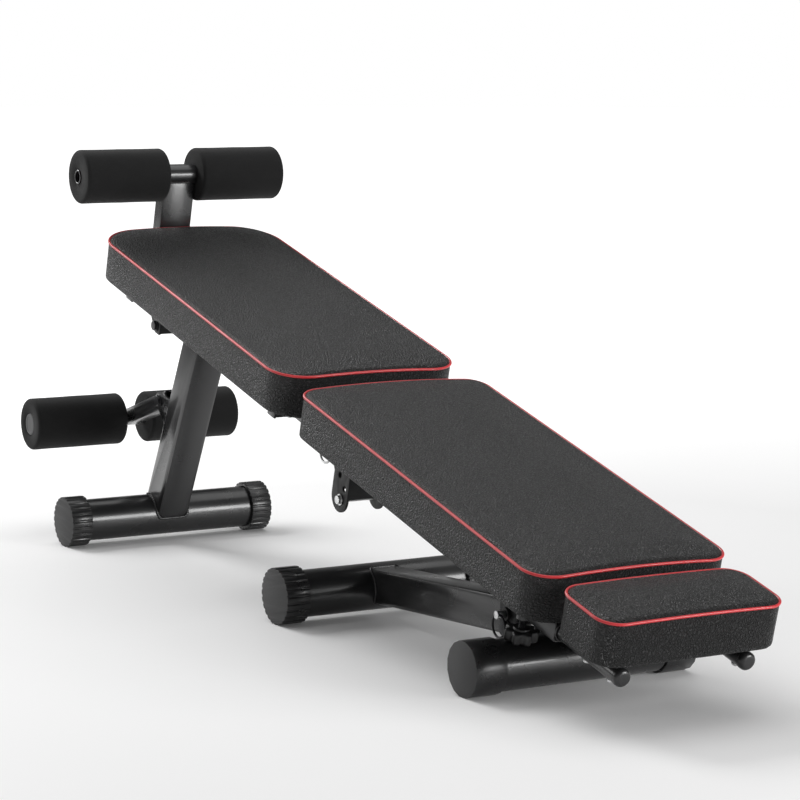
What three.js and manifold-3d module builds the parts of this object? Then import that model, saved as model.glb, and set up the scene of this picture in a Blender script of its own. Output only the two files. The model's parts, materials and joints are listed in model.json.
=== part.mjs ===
// Decline sit up bench with a hinged back pad, a sliding head pad, two pairs of
// foam rollers and a T-shaped leg that swings down under the beam.
// Units are millimetres and +Z is up. +X runs along the bench towards the head
// end. The origin is on the floor, at the centre of the footprint.
import * as THREE from 'three';
import { mergeVertices } from 'three/addons/utils/BufferGeometryUtils.js';
import Module from 'manifold-3d';

const wasm = await Module();
wasm.setup();

const GAP = 0.3; // left between parts that touch
const RUN = 0.4; // radial play around pins, rods and axles
const HOLE_SIDES = 12; // facets of small shanks and of the holes around them
const TUBE_SIDES = 28; // facets of the foot tubes
const REACH = 60; // half length of the tools that cut saddles and holes

// ---- Driving dimensions, in the bench's own frame: x = 0 at the rear foot ----

const FOOT = { radius: 30, wall: 2, capEnd: 6, ribs: 24, ribDepth: 1.6 };
const REAR_FOOT = { x: 0, capRadius: 36, capLength: 31, length: 320 };
const MID_FOOT = { x: 642, capRadius: 36, capLength: 33, length: 297 };
const FRONT_FOOT = { x: 1097, capRadius: 32, capLength: 40, length: 299 };

// The pads lie in one plane that falls towards the head. Inside that plane's
// frame, x is the distance along the slope (s) and z the height above it (n).
const DECLINE = THREE.MathUtils.degToRad(14.8);
const PLANE_START = { x: 66.3, z: 455.8 };

const PAD = { board: 12, boardInset: 4, crown: 8 };
const SEAT_PAD = { from: 0, to: 589, width: 265, depth: 54, corner: 50, rearCorner: 55, arch: 5 };
const BACK_PAD = { from: 626.6, to: 1196, width: 265, depth: 54, corner: 37, rearCorner: 25, arch: 5 };
const HEAD_PAD = { from: 1215.4, to: 1316, width: 239, depth: 51, corner: 28, rearCorner: 26, arch: 2 };

const BEAM = { from: -19.5, to: 1150, width: 50, height: 40, wall: 2, top: -76 };
const BEAM_BOTTOM = BEAM.top - BEAM.height;
const BEAM_MIDDLE = BEAM.top - BEAM.height / 2;
const SEAT_BAR = { width: 20, height: 21, wall: 1.5, halfLength: 103, at: [70, 519] };

// Side plates that flank the 50 mm beam: index bracket, leg bracket, post bracket.
const PLATE = { inner: 25.5, thick: 3 };
const PLATE_OUTER = PLATE.inner + PLATE.thick;

const REAR_POST = { x: 3, z: 36, lean: 28, size: 50, corner: 7, wall: 2, length: 370 };

const UPPER_POST = { s: -32.5, depth: 25, width: 50, wall: 2, from: -128, socket: -130 };
const UPPER_AXLE = { s: -31.6, n: 75.3, radius: 10, wall: 2, sleeve: 15, halfLength: 155.5 };
const UPPER_ROLLER = { radius: 38, from: 25.5, to: 154, round: 5 };
const POST_KNOB = { n: -95, stud: 5, studLength: 17, radius: 20, thick: 14, lobes: 7 };
const POST_BRACKET = {
  top: -56, back: 3.5, bossRadius: 9, bossLength: 10, boltS: 9, boltN: -139, webS: 20.5, webBottom: -148,
};

const LOWER_PIVOT = { x: 22.5, z: 207 };
const LOWER_AXLE = { x: -114.5, z: 165.4, radius: 10, wall: 2, halfLength: 159.5 };
const LOWER_ROLLER = { radius: 38, from: 20.5, to: 163.5, round: 5 };
const LOWER_ARM = { size: 25, wall: 2, past: 14 };
const PLUG = { radius: 16, thick: 3.6, stub: 14 };
const CLEVIS = { thick: 4, baseWidth: 36, baseHeight: 56, ear: 12.5, earRoot: 24 };

const BACK_PIVOT = { s: 660, n: -67.4 };
const BACK_PIN = { s: 560, n: -99 };
const BACK_STEPS = [0, 12, 24, 35]; // degrees
const RAIL = { y: 82, size: 25, wall: 2, from: 640, to: 1190, n: -66.8 };
const BACK_BAR = { width: 25, height: 20, wall: 2, n: -65, at: [696.5, 1162] };
const INDEX_BOLT = { s: 590, n: -168 };
const INDEX_REAR = { s: 548, bend: -110 };
const INDEX_WEB = { s: 607, thick: 3.5, height: 46, rearS: 566, rearKnee: -136, rearEnd: -163 };
const HINGE_ARM = { inner: 29, thick: 4, eye: 12, pinEye: 9.5 };
const PIVOT = { radius: 5, headRadius: 9, legHeadRadius: 10 };

const ROD = { radius: 10, wall: 1.5, from: 1030, to: 1301, capRadius: 10.6, capLength: 9 };
const ROD_BLOCKS = { at: [1240, 1288], length: 18, width: 12 };
const ROD_CAP_STUB = 12;
const HEAD_KNOB = { s: 1110, n: -101, radius: 20, thick: 14, lobes: 7 };
const KNOB_NUT = { radius: 8, height: 9 };

const LEG_PIVOT = { x: 996, z: 48 };
const LEG = { height: 45, width: 40, wall: 2, rise: 3.3, startZ: 39.5, past: 8, sleeve: 8 };
const LEG_PIN = { s: 1002.3, n: -138.4 };
const LEG_BRACKET = { from: 980, to: 1026, top: -86, shoulder: -120, eye: 14 };
const PIN_BOSS = { radius: 8, length: 5 };

const BOLT = { radius: 4, headRadius: 7.5, headThick: 5 };
const PIN = { radius: 4, headRadius: 5, headLength: 8, bore: 2.8 };
const RING = { radius: 13.5, wire: 1.5 };

// ---- Materials ----

function material(colour, roughness, metalness) {
  return new THREE.MeshStandardMaterial({ color: colour, roughness, metalness });
}

const paint = material(0x141414, 0.28, 0.3);
const capPlastic = material(0x1a1a1b, 0.35, 0);
const foam = material(0x151515, 0.95, 0);
const leatherette = material(0x2b2b2c, 0.6, 0);
const plywood = material(0x9a7b52, 0.7, 0);
const zinc = material(0xb4b6b8, 0.35, 1);
const plugPlastic = material(0x4a4a4b, 0.7, 0);
const knobPlastic = material(0x161616, 0.45, 0);

// ---- Solids: joining and cutting ----

function toManifold(geometry) {
  const plain = geometry.clone();
  plain.deleteAttribute('normal');
  plain.deleteAttribute('uv');
  const merged = mergeVertices(plain, 1e-4);
  const index = merged.index.array;
  const corners = [];
  for (let i = 0; i < index.length; i += 3) {
    const [a, b, c] = [index[i], index[i + 1], index[i + 2]];
    if (a !== b && b !== c && c !== a) corners.push(a, b, c);
  }
  const mesh = new wasm.Mesh({
    numProp: 3,
    vertProperties: new Float32Array(merged.attributes.position.array),
    triVerts: new Uint32Array(corners),
  });
  return new wasm.Manifold(mesh);
}

function toGeometry(manifold) {
  const mesh = manifold.getMesh();
  const geometry = new THREE.BufferGeometry();
  geometry.setAttribute('position', new THREE.BufferAttribute(mesh.vertProperties, 3));
  geometry.setIndex(new THREE.BufferAttribute(mesh.triVerts, 1));
  return geometry;
}

function join(first, ...others) {
  return toGeometry(others.reduce((sum, g) => sum.add(toManifold(g)), toManifold(first)));
}

function cut(body, ...tools) {
  return toGeometry(tools.reduce((rest, g) => rest.subtract(toManifold(g)), toManifold(body)));
}

// ---- Shapes ----

// The corners at the -x end may have a radius of their own.
function roundedRectangle(width, height, front, cornerSteps = 2, rear = front) {
  const points = [];
  const centres = [[1, 1], [-1, 1], [-1, -1], [1, -1]];
  centres.forEach(([x, y], quarter) => {
    const radius = x > 0 ? front : rear;
    for (let i = 0; i <= cornerSteps; i++) {
      const angle = (quarter + i / cornerSteps) * Math.PI / 2;
      points.push(new THREE.Vector2(
        x * (width / 2 - radius) + radius * Math.cos(angle),
        y * (height / 2 - radius) + radius * Math.sin(angle),
      ));
    }
  });
  return points;
}

// A straight prism along Z, centred on z = 0.
function prism(points, length, hole = null) {
  const shape = new THREE.Shape(points);
  if (hole) shape.holes.push(new THREE.Path(hole));
  const geometry = new THREE.ExtrudeGeometry(shape, { depth: length, bevelEnabled: false });
  return geometry.translate(0, 0, -length / 2);
}

// A rectangular tube along Z, centred: width along X, height along Y.
function boxTube(width, height, wall, length, corner = 4) {
  const outer = roundedRectangle(width, height, corner);
  const inner = roundedRectangle(width - 2 * wall, height - 2 * wall, corner - wall);
  return prism(outer, length, inner);
}

// Turns a solid made along Z so that it runs along X: its X becomes the height.
function alongX(geometry) {
  return geometry.rotateY(Math.PI / 2);
}

// Turns a solid made along Z so that it runs along Y.
function alongY(geometry) {
  return geometry.rotateX(Math.PI / 2);
}

// Turns a solid made along Y so that it runs along Z, with its +y end up.
function alongZ(geometry) {
  return geometry.rotateX(Math.PI / 2);
}

// Turns a solid made along Y so that it runs along X, with its +y end forward.
function forward(geometry) {
  return geometry.rotateZ(-Math.PI / 2);
}

// A solid turned about the Y axis from [radius, y] pairs, walked so that the
// outside goes towards +y.
function turned(pairs, sides = 20) {
  const points = pairs.map(([radius, y]) => new THREE.Vector2(radius, y));
  return new THREE.LatheGeometry(points, sides);
}

function rod(radius, from, to, sides = 20) {
  return turned([[0, from], [radius, from], [radius, to], [0, to]], sides);
}

function pipe(outer, inner, from, to, sides = 20) {
  return turned([[inner, from], [outer, from], [outer, to], [inner, to], [inner, from]], sides);
}

// A plate in the XZ plane, between y = from and y = to.
function plate(points, from, to) {
  const geometry = prism(points, to - from);
  return alongY(geometry).translate(0, (from + to) / 2, 0);
}

// Points of a circular arc in a plate outline, angles in degrees.
function arc(x, z, radius, from, to, steps = 8) {
  const points = [];
  for (let i = 0; i <= steps; i++) {
    const angle = THREE.MathUtils.degToRad(from + (to - from) * i / steps);
    points.push(new THREE.Vector2(x + radius * Math.cos(angle), z + radius * Math.sin(angle)));
  }
  return points;
}

function point(x, z) {
  return new THREE.Vector2(x, z);
}

// A bolt along Y with a hexagon head at -y and a nut at +y, on one axis.
function throughBolt(halfGrip, radius = BOLT.radius, headRadius = BOLT.headRadius) {
  const shank = rod(radius, -halfGrip - 1, halfGrip + 4 + BOLT.headThick, HOLE_SIDES);
  const head = rod(headRadius, -halfGrip - BOLT.headThick, -halfGrip, 6);
  const nut = rod(headRadius, halfGrip, halfGrip + BOLT.headThick, 6);
  return join(shank, head, nut);
}

function starPoints(radius, lobes, depth) {
  const steps = lobes * 6;
  const points = [];
  for (let i = 0; i < steps; i++) {
    const angle = i / steps * 2 * Math.PI;
    const r = radius - depth / 2 + depth / 2 * Math.cos(lobes * angle);
    points.push(new THREE.Vector2(r * Math.cos(angle), r * Math.sin(angle)));
  }
  return points;
}

// A star knob along Y: the stud points to +y with its tip at y = 0.
function starKnob(studRadius, studLength, { radius, thick, lobes }) {
  const star = alongY(prism(starPoints(radius, lobes, 5), thick));
  star.translate(0, -studLength - thick / 2, 0);
  const collar = rod(radius * 0.5, -studLength - thick / 2, -studLength + 2);
  return join(star, collar, rod(studRadius, -studLength - 1, 0, HOLE_SIDES));
}

// ---- Model groups ----

const bench = new THREE.Group();
const padPlane = new THREE.Group();
padPlane.position.set(PLANE_START.x, 0, PLANE_START.z);
padPlane.rotation.y = DECLINE;
padPlane.updateMatrix();
bench.add(padPlane);

function add(group, name, geometry, look) {
  const mesh = new THREE.Mesh(geometry, look);
  mesh.name = name;
  group.add(mesh);
  return mesh;
}

function addBoth(group, name, make, look) {
  for (const [side, sign] of [['left', -1], ['right', 1]]) {
    add(group, `${name}_${side}`, make(sign), look);
  }
}

// The mirror image of a turned solid made on the +y side.
function onSide(geometry, sign) {
  return sign > 0 ? geometry : geometry.rotateX(Math.PI);
}

// ---- Feet ----

// The outline of a ribbed cap. The flat of one rib lies at the bottom.
function ribbedOutline(radius) {
  const points = [];
  const pitch = 2 * Math.PI / FOOT.ribs;
  const flat = pitch * 0.28;
  const top = radius / Math.cos(flat);
  for (let i = 0; i < FOOT.ribs; i++) {
    const middle = -Math.PI / 2 + i * pitch;
    const corners = [[top, -flat], [top, flat], [top - FOOT.ribDepth, 1.4 * flat]];
    corners.push([top - FOOT.ribDepth, pitch - 1.4 * flat]);
    for (const [r, angle] of corners) {
      points.push(new THREE.Vector2(r * Math.cos(middle + angle), r * Math.sin(middle + angle)));
    }
  }
  return points;
}

function plainOutline(radius) {
  const sides = 16;
  const corner = radius / Math.cos(Math.PI / sides);
  const points = [];
  for (let i = 0; i < sides; i++) {
    const angle = -Math.PI / 2 + (i + 0.5) * 2 * Math.PI / sides;
    points.push(new THREE.Vector2(corner * Math.cos(angle), corner * Math.sin(angle)));
  }
  return points;
}

function addFoot(name, foot, outline) {
  const half = foot.length / 2;
  const end = half - FOOT.capEnd - GAP;
  const tube = pipe(FOOT.radius, FOOT.radius - FOOT.wall, -end, end, TUBE_SIDES);
  add(bench, `${name}_tube`, tube, paint).position.set(foot.x, 0, foot.capRadius);
  addBoth(bench, `${name}_cap`, (sign) => {
    const body = alongY(prism(outline, foot.capLength)).translate(0, half - foot.capLength / 2, 0);
    const bore = rod(FOOT.radius + GAP, half - foot.capLength - 1, half - FOOT.capEnd, TUBE_SIDES);
    const cap = cut(body, bore);
    if (sign < 0) cap.rotateZ(Math.PI);
    return cap.translate(foot.x, 0, foot.capRadius);
  }, capPlastic);
}

function addFeet() {
  addFoot('rear_foot', REAR_FOOT, ribbedOutline(REAR_FOOT.capRadius));
  addFoot('mid_foot', MID_FOOT, ribbedOutline(MID_FOOT.capRadius));
  addFoot('front_foot', FRONT_FOOT, plainOutline(FRONT_FOOT.capRadius));
}

// ---- Rear post and main beam ----

function postFrame() {
  const lean = THREE.MathUtils.degToRad(REAR_POST.lean);
  const frame = new THREE.Matrix4().makeRotationY(lean);
  return frame.setPosition(REAR_POST.x, 0, REAR_POST.z);
}

function addRearPost() {
  const { size, corner, wall, length } = REAR_POST;
  const post = boxTube(size, size, wall, length, corner);
  post.translate(0, 0, length / 2).applyMatrix4(postFrame());
  const foot = rod(FOOT.radius + GAP, -REACH, REACH, TUBE_SIDES);
  foot.translate(REAR_FOOT.x, 0, REAR_FOOT.capRadius);
  const above = new THREE.BoxGeometry(900, 200, 200);
  above.translate(300, 0, 100 + BEAM_BOTTOM - GAP).applyMatrix4(padPlane.matrix);
  add(bench, 'rear_post', cut(post, foot, above), paint);
}

function addMainBeam() {
  const length = BEAM.to - BEAM.from;
  const beam = alongX(boxTube(BEAM.height, BEAM.width, BEAM.wall, length));
  beam.translate(BEAM.from + length / 2, 0, BEAM_MIDDLE);
  add(padPlane, 'main_beam', beam, paint);
  const face = alongX(prism(roundedRectangle(BEAM.height, BEAM.width, 4), 4));
  const core = alongX(prism(roundedRectangle(BEAM.height - 5, BEAM.width - 5, 1.5), 18));
  const plug = join(face.translate(2 + GAP, 0, 0), core.translate(-8, 0, 0));
  add(padPlane, 'beam_end_plug', plug.translate(BEAM.to, 0, BEAM_MIDDLE), capPlastic);
}

// The two plates that flank the beam, from one outline.
function sidePlates(outline) {
  return [plate(outline, -PLATE_OUTER, -PLATE.inner), plate(outline, PLATE.inner, PLATE_OUTER)];
}

// ---- Upper post, its bracket under the seat, axle and rollers ----

function addPostBracket() {
  const { top, back: thick, bossRadius, bossLength, boltS, boltN, webS, webBottom } = POST_BRACKET;
  const { socket } = UPPER_POST;
  const back = UPPER_POST.s - UPPER_POST.depth / 2 - 1;
  const outline = [
    point(back - thick, top), point(back - thick, socket), point(-12, socket),
    point(5, -149), point(7, -150), point(20, -150), point(22, -148), point(22, top),
  ];
  const backPlate = new THREE.BoxGeometry(thick, 2 * PLATE_OUTER, top - socket);
  backPlate.translate(back - thick / 2, 0, (socket + top) / 2);
  const webTop = BEAM_BOTTOM - GAP;
  const web = new THREE.BoxGeometry(PLATE.thick, 2 * PLATE_OUTER, webTop - webBottom);
  web.translate(webS, 0, (webTop + webBottom) / 2);
  const boss = forward(rod(bossRadius, back - 1 - bossLength, back - 1));
  const screwHole = forward(rod(POST_KNOB.stud + RUN, back - 20, back + 5));
  const boltHole = rod(BOLT.radius + RUN, -REACH, REACH, HOLE_SIDES).translate(boltS, 0, boltN);
  const whole = join(...sidePlates(outline), backPlate, web, boss.translate(0, 0, POST_KNOB.n));
  const holes = [screwHole.translate(0, 0, POST_KNOB.n), boltHole];
  add(padPlane, 'post_bracket', cut(whole, ...holes), paint);
  const bolt = throughBolt(PLATE_OUTER + GAP).translate(boltS, 0, boltN);
  add(padPlane, 'post_bracket_bolt', bolt, paint);
}

function addPostKnob() {
  const face = UPPER_POST.s - UPPER_POST.depth / 2;
  const knob = forward(starKnob(POST_KNOB.stud, POST_KNOB.studLength, POST_KNOB));
  add(padPlane, 'post_knob', knob.translate(face - GAP, 0, POST_KNOB.n), knobPlastic);
}

function addUpperPost() {
  const top = UPPER_AXLE.n - 3;
  const length = top - UPPER_POST.from;
  const tube = boxTube(UPPER_POST.depth, UPPER_POST.width, UPPER_POST.wall, length);
  tube.translate(UPPER_POST.s, 0, UPPER_POST.from + length / 2);
  const saddle = rod(UPPER_AXLE.sleeve + GAP, -REACH, REACH, TUBE_SIDES);
  saddle.translate(UPPER_AXLE.s, 0, UPPER_AXLE.n);
  add(padPlane, 'upper_post', cut(tube, saddle), paint);
}

function addRollerPair(group, name, roller, place, bore, counterbore) {
  addBoth(group, name, (sign) => {
    const { radius, from, to, round } = roller;
    const inner = [[bore, from], [radius - round, from]];
    const rim = (y, start) => arc(radius - round, y, round, start, start + 90, 3);
    const rounded = [...rim(from + round, -90), ...rim(to - round, 0)].map((p) => [p.x, p.y]);
    const outer = counterbore
      ? [[counterbore, to], [counterbore, to - PLUG.thick - RUN], [bore, to - PLUG.thick - RUN]]
      : [[bore, to]];
    const profile = [...inner, ...rounded.slice(1), ...outer, [bore, from]];
    return onSide(turned(profile), sign).translate(place.x, 0, place.z);
  }, foam);
}

function addUpperAxle() {
  const { s, n, radius, wall, sleeve, halfLength } = UPPER_AXLE;
  const axle = pipe(radius, radius - wall, -halfLength, halfLength);
  add(padPlane, 'upper_axle', axle.translate(s, 0, n), paint);
  const half = UPPER_ROLLER.from - 0.5;
  const cover = pipe(sleeve, radius + GAP, -half, half, TUBE_SIDES);
  add(padPlane, 'upper_axle_sleeve', cover.translate(s, 0, n), paint);
  addRollerPair(padPlane, 'upper_roller', UPPER_ROLLER, { x: s, z: n }, radius + RUN, 0);
}

// ---- Lower arm, its clevis on the rear post, axle, plugs and rollers ----

function addArmClevis() {
  const inverse = postFrame().invert();
  const pivot = new THREE.Vector3(LOWER_PIVOT.x, 0, LOWER_PIVOT.z).applyMatrix4(inverse);
  const face = -REAR_POST.size / 2 - GAP;
  const half = LOWER_ARM.size / 2 + GAP;
  const { thick, baseWidth, baseHeight, ear, earRoot } = CLEVIS;
  const outline = [
    point(face, pivot.z + earRoot), ...arc(pivot.x, pivot.z, ear, 90, 270, 10),
    point(face, pivot.z - earRoot),
  ];
  const base = new THREE.BoxGeometry(thick, baseWidth, baseHeight);
  base.translate(face - thick / 2, 0, pivot.z);
  const ears = [plate(outline, -half - thick, -half), plate(outline, half, half + thick)];
  const hole = rod(BOLT.radius + RUN, -REACH, REACH, HOLE_SIDES).translate(pivot.x, 0, pivot.z);
  const clevis = cut(join(base, ...ears), hole).applyMatrix4(postFrame());
  add(bench, 'arm_clevis', clevis, paint);
  const bolt = throughBolt(half + thick + GAP);
  add(bench, 'arm_pivot_bolt', bolt.translate(LOWER_PIVOT.x, 0, LOWER_PIVOT.z), paint);
}

function addLowerArm() {
  const run = new THREE.Vector2(LOWER_PIVOT.x - LOWER_AXLE.x, LOWER_PIVOT.z - LOWER_AXLE.z);
  const reach = run.length();
  const length = reach + LOWER_ARM.past;
  const tube = alongX(boxTube(LOWER_ARM.size, LOWER_ARM.size, LOWER_ARM.wall, length));
  tube.translate(length / 2, 0, 0);
  const axleSaddle = rod(LOWER_AXLE.radius + GAP, -REACH, REACH);
  const boltHole = rod(BOLT.radius + RUN, -REACH, REACH, HOLE_SIDES).translate(reach, 0, 0);
  const square = new THREE.BoxGeometry(14, 40, 40).translate(-1, 0, 0);
  const arm = cut(tube, square, axleSaddle, boltHole).rotateY(-run.angle());
  add(bench, 'lower_arm', arm.translate(LOWER_AXLE.x, 0, LOWER_AXLE.z), paint);
}

function addLowerAxle() {
  const { x, z, radius, wall, halfLength } = LOWER_AXLE;
  const axle = pipe(radius, radius - wall, -halfLength, halfLength);
  add(bench, 'lower_axle', axle.translate(x, 0, z), paint);
  addBoth(bench, 'lower_axle_plug', (sign) => {
    const start = halfLength + GAP;
    const stub = radius - wall - GAP;
    const profile = [
      [0, start - PLUG.stub], [stub, start - PLUG.stub], [stub, start], [PLUG.radius, start],
      [PLUG.radius, start + PLUG.thick], [0, start + PLUG.thick],
    ];
    return onSide(turned(profile), sign).translate(x, 0, z);
  }, plugPlastic);
  addRollerPair(bench, 'lower_roller', LOWER_ROLLER, { x, z }, radius + RUN, PLUG.radius + RUN);
}

// ---- Pads ----

// A closed solid through a stack of rings, each a list of [x, y, z] of one length.
function stacked(rings) {
  const count = rings[0].length;
  const positions = rings.flat(2);
  const index = [];
  for (let level = 0; level + 1 < rings.length; level++) {
    for (let i = 0; i < count; i++) {
      const [a, b] = [level * count + i, level * count + (i + 1) % count];
      index.push(a, b, b + count, a, b + count, a + count);
    }
  }
  const centre = (ring) => [0, 1, 2].map((k) => ring.reduce((sum, p) => sum + p[k], 0) / count);
  positions.push(...centre(rings[0]), ...centre(rings.at(-1)));
  const [bottom, top] = [rings.length * count, rings.length * count + 1];
  const last = (rings.length - 1) * count;
  for (let i = 0; i < count; i++) {
    const next = (i + 1) % count;
    index.push(bottom, next, i, top, last + i, last + next);
  }
  const geometry = new THREE.BufferGeometry();
  geometry.setAttribute('position', new THREE.Float32BufferAttribute(positions, 3));
  geometry.setIndex(index);
  return geometry;
}

// The pad's top edge rises by arch at the middle of its width.
function padSolid({ from, to, width, depth, corner, rearCorner, arch: rise }) {
  const ring = (inset, height, edge) => {
    const [front, rear] = [corner, rearCorner].map((radius) => Math.max(radius - inset, 8));
    const outline = roundedRectangle(to - from - 2 * inset, width - 2 * inset, front, 5, rear);
    return outline.map((p) => {
      const across = 2 * p.y / width;
      return [(from + to) / 2 + p.x, p.y, height + edge * rise * (1 - across * across)];
    });
  };
  return stacked([
    ring(1, PAD.board - depth + GAP, 0),
    ring(0, PAD.board - depth + 3, 0),
    ring(0, 0, 1),
    ring(4, 2.5, 1),
    ring(12, 0.55 * PAD.crown, 1),
    ring(28, PAD.crown, 0.8),
  ]);
}

function addPad(name, pad) {
  const inset = PAD.boardInset;
  const [length, width] = [pad.to - pad.from - 2 * inset, pad.width - 2 * inset];
  const outline = roundedRectangle(length, width, pad.corner - inset, 5, pad.rearCorner - inset);
  const board = prism(outline, PAD.board - GAP).translate((pad.from + pad.to) / 2, 0, 0);
  board.translate(0, 0, -pad.depth + PAD.board / 2);
  add(padPlane, `${name}_board`, board, plywood);
  add(padPlane, `${name}_pad`, padSolid(pad), leatherette);
}

function addSeat() {
  addPad('seat', SEAT_PAD);
  ['rear', 'front'].forEach((end, i) => {
    const { width, height, wall, halfLength } = SEAT_BAR;
    const bar = alongY(boxTube(width, height, wall, 2 * halfLength));
    bar.translate(SEAT_BAR.at[i], 0, -SEAT_PAD.depth - GAP - height / 2);
    add(padPlane, `seat_bar_${end}`, bar, paint);
  });
}

// ---- Back rest: index bracket on the beam, hinge, rails, bars and pull pin ----

function pivotHole() {
  return rod(PIVOT.radius + RUN, -REACH, REACH);
}

function indexOutline() {
  return [
    point(INDEX_REAR.s, -84), point(INDEX_REAR.s, INDEX_REAR.bend),
    point(INDEX_WEB.rearS, INDEX_WEB.rearKnee),
    ...arc(586.5, -165.5, 20.5, 180, 360, 12),
    point(607, -116), point(642, -112),
    ...arc(BACK_PIVOT.s, BACK_PIVOT.n, 12, -20, 150, 8),
    point(646, -76), point(607, -84),
  ];
}

function addIndexBracket() {
  const { s, thick, height, rearS, rearKnee, rearEnd } = INDEX_WEB;
  const web = new THREE.BoxGeometry(thick, 2 * PLATE_OUTER, height);
  web.translate(s - thick / 2, 0, BEAM_BOTTOM - GAP - height / 2);
  const top = BEAM_BOTTOM - GAP;
  const drop = (INDEX_REAR.bend - top) / (INDEX_REAR.bend - rearKnee);
  const rearTop = INDEX_REAR.s + (rearS - INDEX_REAR.s) * drop;
  const rearWeb = plate([
    point(rearTop, top), point(rearS, rearKnee), point(rearS, rearEnd),
    point(rearS + thick, rearEnd), point(rearS + thick, rearKnee), point(rearTop + thick, top),
  ], -PLATE_OUTER, PLATE_OUTER);
  const boltHole = rod(BOLT.radius + RUN, -REACH, REACH, HOLE_SIDES);
  const holes = [pivotHole().translate(BACK_PIVOT.s, 0, BACK_PIVOT.n)];
  holes.push(boltHole.translate(INDEX_BOLT.s, 0, INDEX_BOLT.n));
  for (const degrees of BACK_STEPS) {
    const turn = THREE.MathUtils.degToRad(degrees);
    const arm = point(BACK_PIN.s - BACK_PIVOT.s, BACK_PIN.n - BACK_PIVOT.n);
    arm.rotateAround(new THREE.Vector2(), turn);
    const hole = rod(PIN.radius + RUN, -REACH, 0, HOLE_SIDES);
    holes.push(hole.translate(BACK_PIVOT.s + arm.x, 0, BACK_PIVOT.n + arm.y));
  }
  const whole = join(...sidePlates(indexOutline()), web, rearWeb);
  add(padPlane, 'index_bracket', cut(whole, ...holes), paint);
  const bolt = throughBolt(PLATE_OUTER + GAP).translate(INDEX_BOLT.s, 0, INDEX_BOLT.n);
  add(padPlane, 'index_bracket_bolt', bolt, zinc);
  const grip = HINGE_ARM.inner + HINGE_ARM.thick + GAP;
  const hinge = throughBolt(grip, PIVOT.radius, PIVOT.headRadius);
  add(padPlane, 'back_hinge_bolt', hinge.translate(BACK_PIVOT.s, 0, BACK_PIVOT.n), zinc);
}

function hingeArmOutline(withLever) {
  const front = BACK_BAR.at[0] - BACK_BAR.width / 2 - GAP;
  const { s, n } = BACK_PIVOT;
  const { eye, pinEye } = HINGE_ARM;
  const start = [point(front, n - eye), point(front, n + eye)];
  if (!withLever) return [...start, ...arc(s, n, eye, 90, 270, 10)];
  const tilt = THREE.MathUtils.radToDeg(Math.atan2(n - BACK_PIN.n, s - BACK_PIN.s));
  return [
    ...start,
    ...arc(s, n, eye, 90, 90 + tilt, 3),
    ...arc(BACK_PIN.s, BACK_PIN.n, pinEye, 90 + tilt, 270 + tilt, 8),
    ...arc(s, n, eye, 270 + tilt, 290, 1),
  ];
}

function addHingeArms() {
  const { inner, thick } = HINGE_ARM;
  const hinge = pivotHole().translate(BACK_PIVOT.s, 0, BACK_PIVOT.n);
  const boss = rod(PIN_BOSS.radius, -inner - thick - PIN_BOSS.length, -inner - 1);
  boss.translate(BACK_PIN.s, 0, BACK_PIN.n);
  const pinHole = rod(PIN.radius + RUN, -REACH, 0, HOLE_SIDES).translate(BACK_PIN.s, 0, BACK_PIN.n);
  const lever = join(plate(hingeArmOutline(true), -inner - thick, -inner), boss);
  add(padPlane, 'pin_lever', cut(lever, hinge, pinHole), paint);
  const arm = plate(hingeArmOutline(false), inner, inner + thick);
  add(padPlane, 'hinge_arm', cut(arm, hinge), paint);
}

function addBackFrame() {
  const { y, size, wall, from, to, n } = RAIL;
  addBoth(padPlane, 'back_rail', (sign) => {
    const rail = alongX(boxTube(size, size, wall, to - from));
    rail.translate((from + to) / 2, sign * y, n);
    if (sign > 0) return rail;
    const knobHole = alongZ(rod(PIN.radius + RUN, -size, 0, HOLE_SIDES));
    return cut(rail, knobHole.translate(HEAD_KNOB.s, -y, n));
  }, paint);
  ['rear', 'front'].forEach((end, i) => {
    const half = y - size / 2 - GAP;
    const bar = alongY(boxTube(BACK_BAR.width, BACK_BAR.height, BACK_BAR.wall, 2 * half));
    add(padPlane, `back_bar_${end}`, bar.translate(BACK_BAR.at[i], 0, BACK_BAR.n), paint);
  });
}

// A spring pin along Y with its tip at y = 0, its head at -y and a hole for a ring.
function pullPin(length) {
  const headStart = -length - PIN.headLength;
  const head = rod(PIN.headRadius, headStart, -length);
  const shaft = rod(PIN.radius, -length - 1, 0, HOLE_SIDES);
  const eye = rod(PIN.bore, -20, 20, HOLE_SIDES).rotateZ(Math.PI / 2);
  eye.translate(0, headStart + PIN.headLength / 2, 0);
  return cut(join(head, shaft), eye);
}

// A pull ring in the XZ plane, hanging from the point where it passes the pin.
function pullRing() {
  const ring = new THREE.TorusGeometry(RING.radius, RING.wire, 6, 20);
  return ring.rotateX(Math.PI / 2).translate(0, 0, -RING.radius);
}

// Places a pull pin and its ring. The pin's eye is level and the ring hangs
// straight down from it, whatever the slope.
function addPullPin(name, place, tip, length, ringLook) {
  const pin = pullPin(length).rotateY(-DECLINE);
  add(padPlane, `${name}_pin`, pin.translate(place.s, tip, place.n), zinc);
  const eye = new THREE.Vector3(place.s, tip - length - PIN.headLength / 2, place.n);
  eye.applyMatrix4(padPlane.matrix);
  add(bench, `${name}_ring`, pullRing().translate(eye.x, eye.y, eye.z), ringLook);
}

// ---- Head rest: rods, end caps and the star knob that clamps the left rod ----

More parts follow.
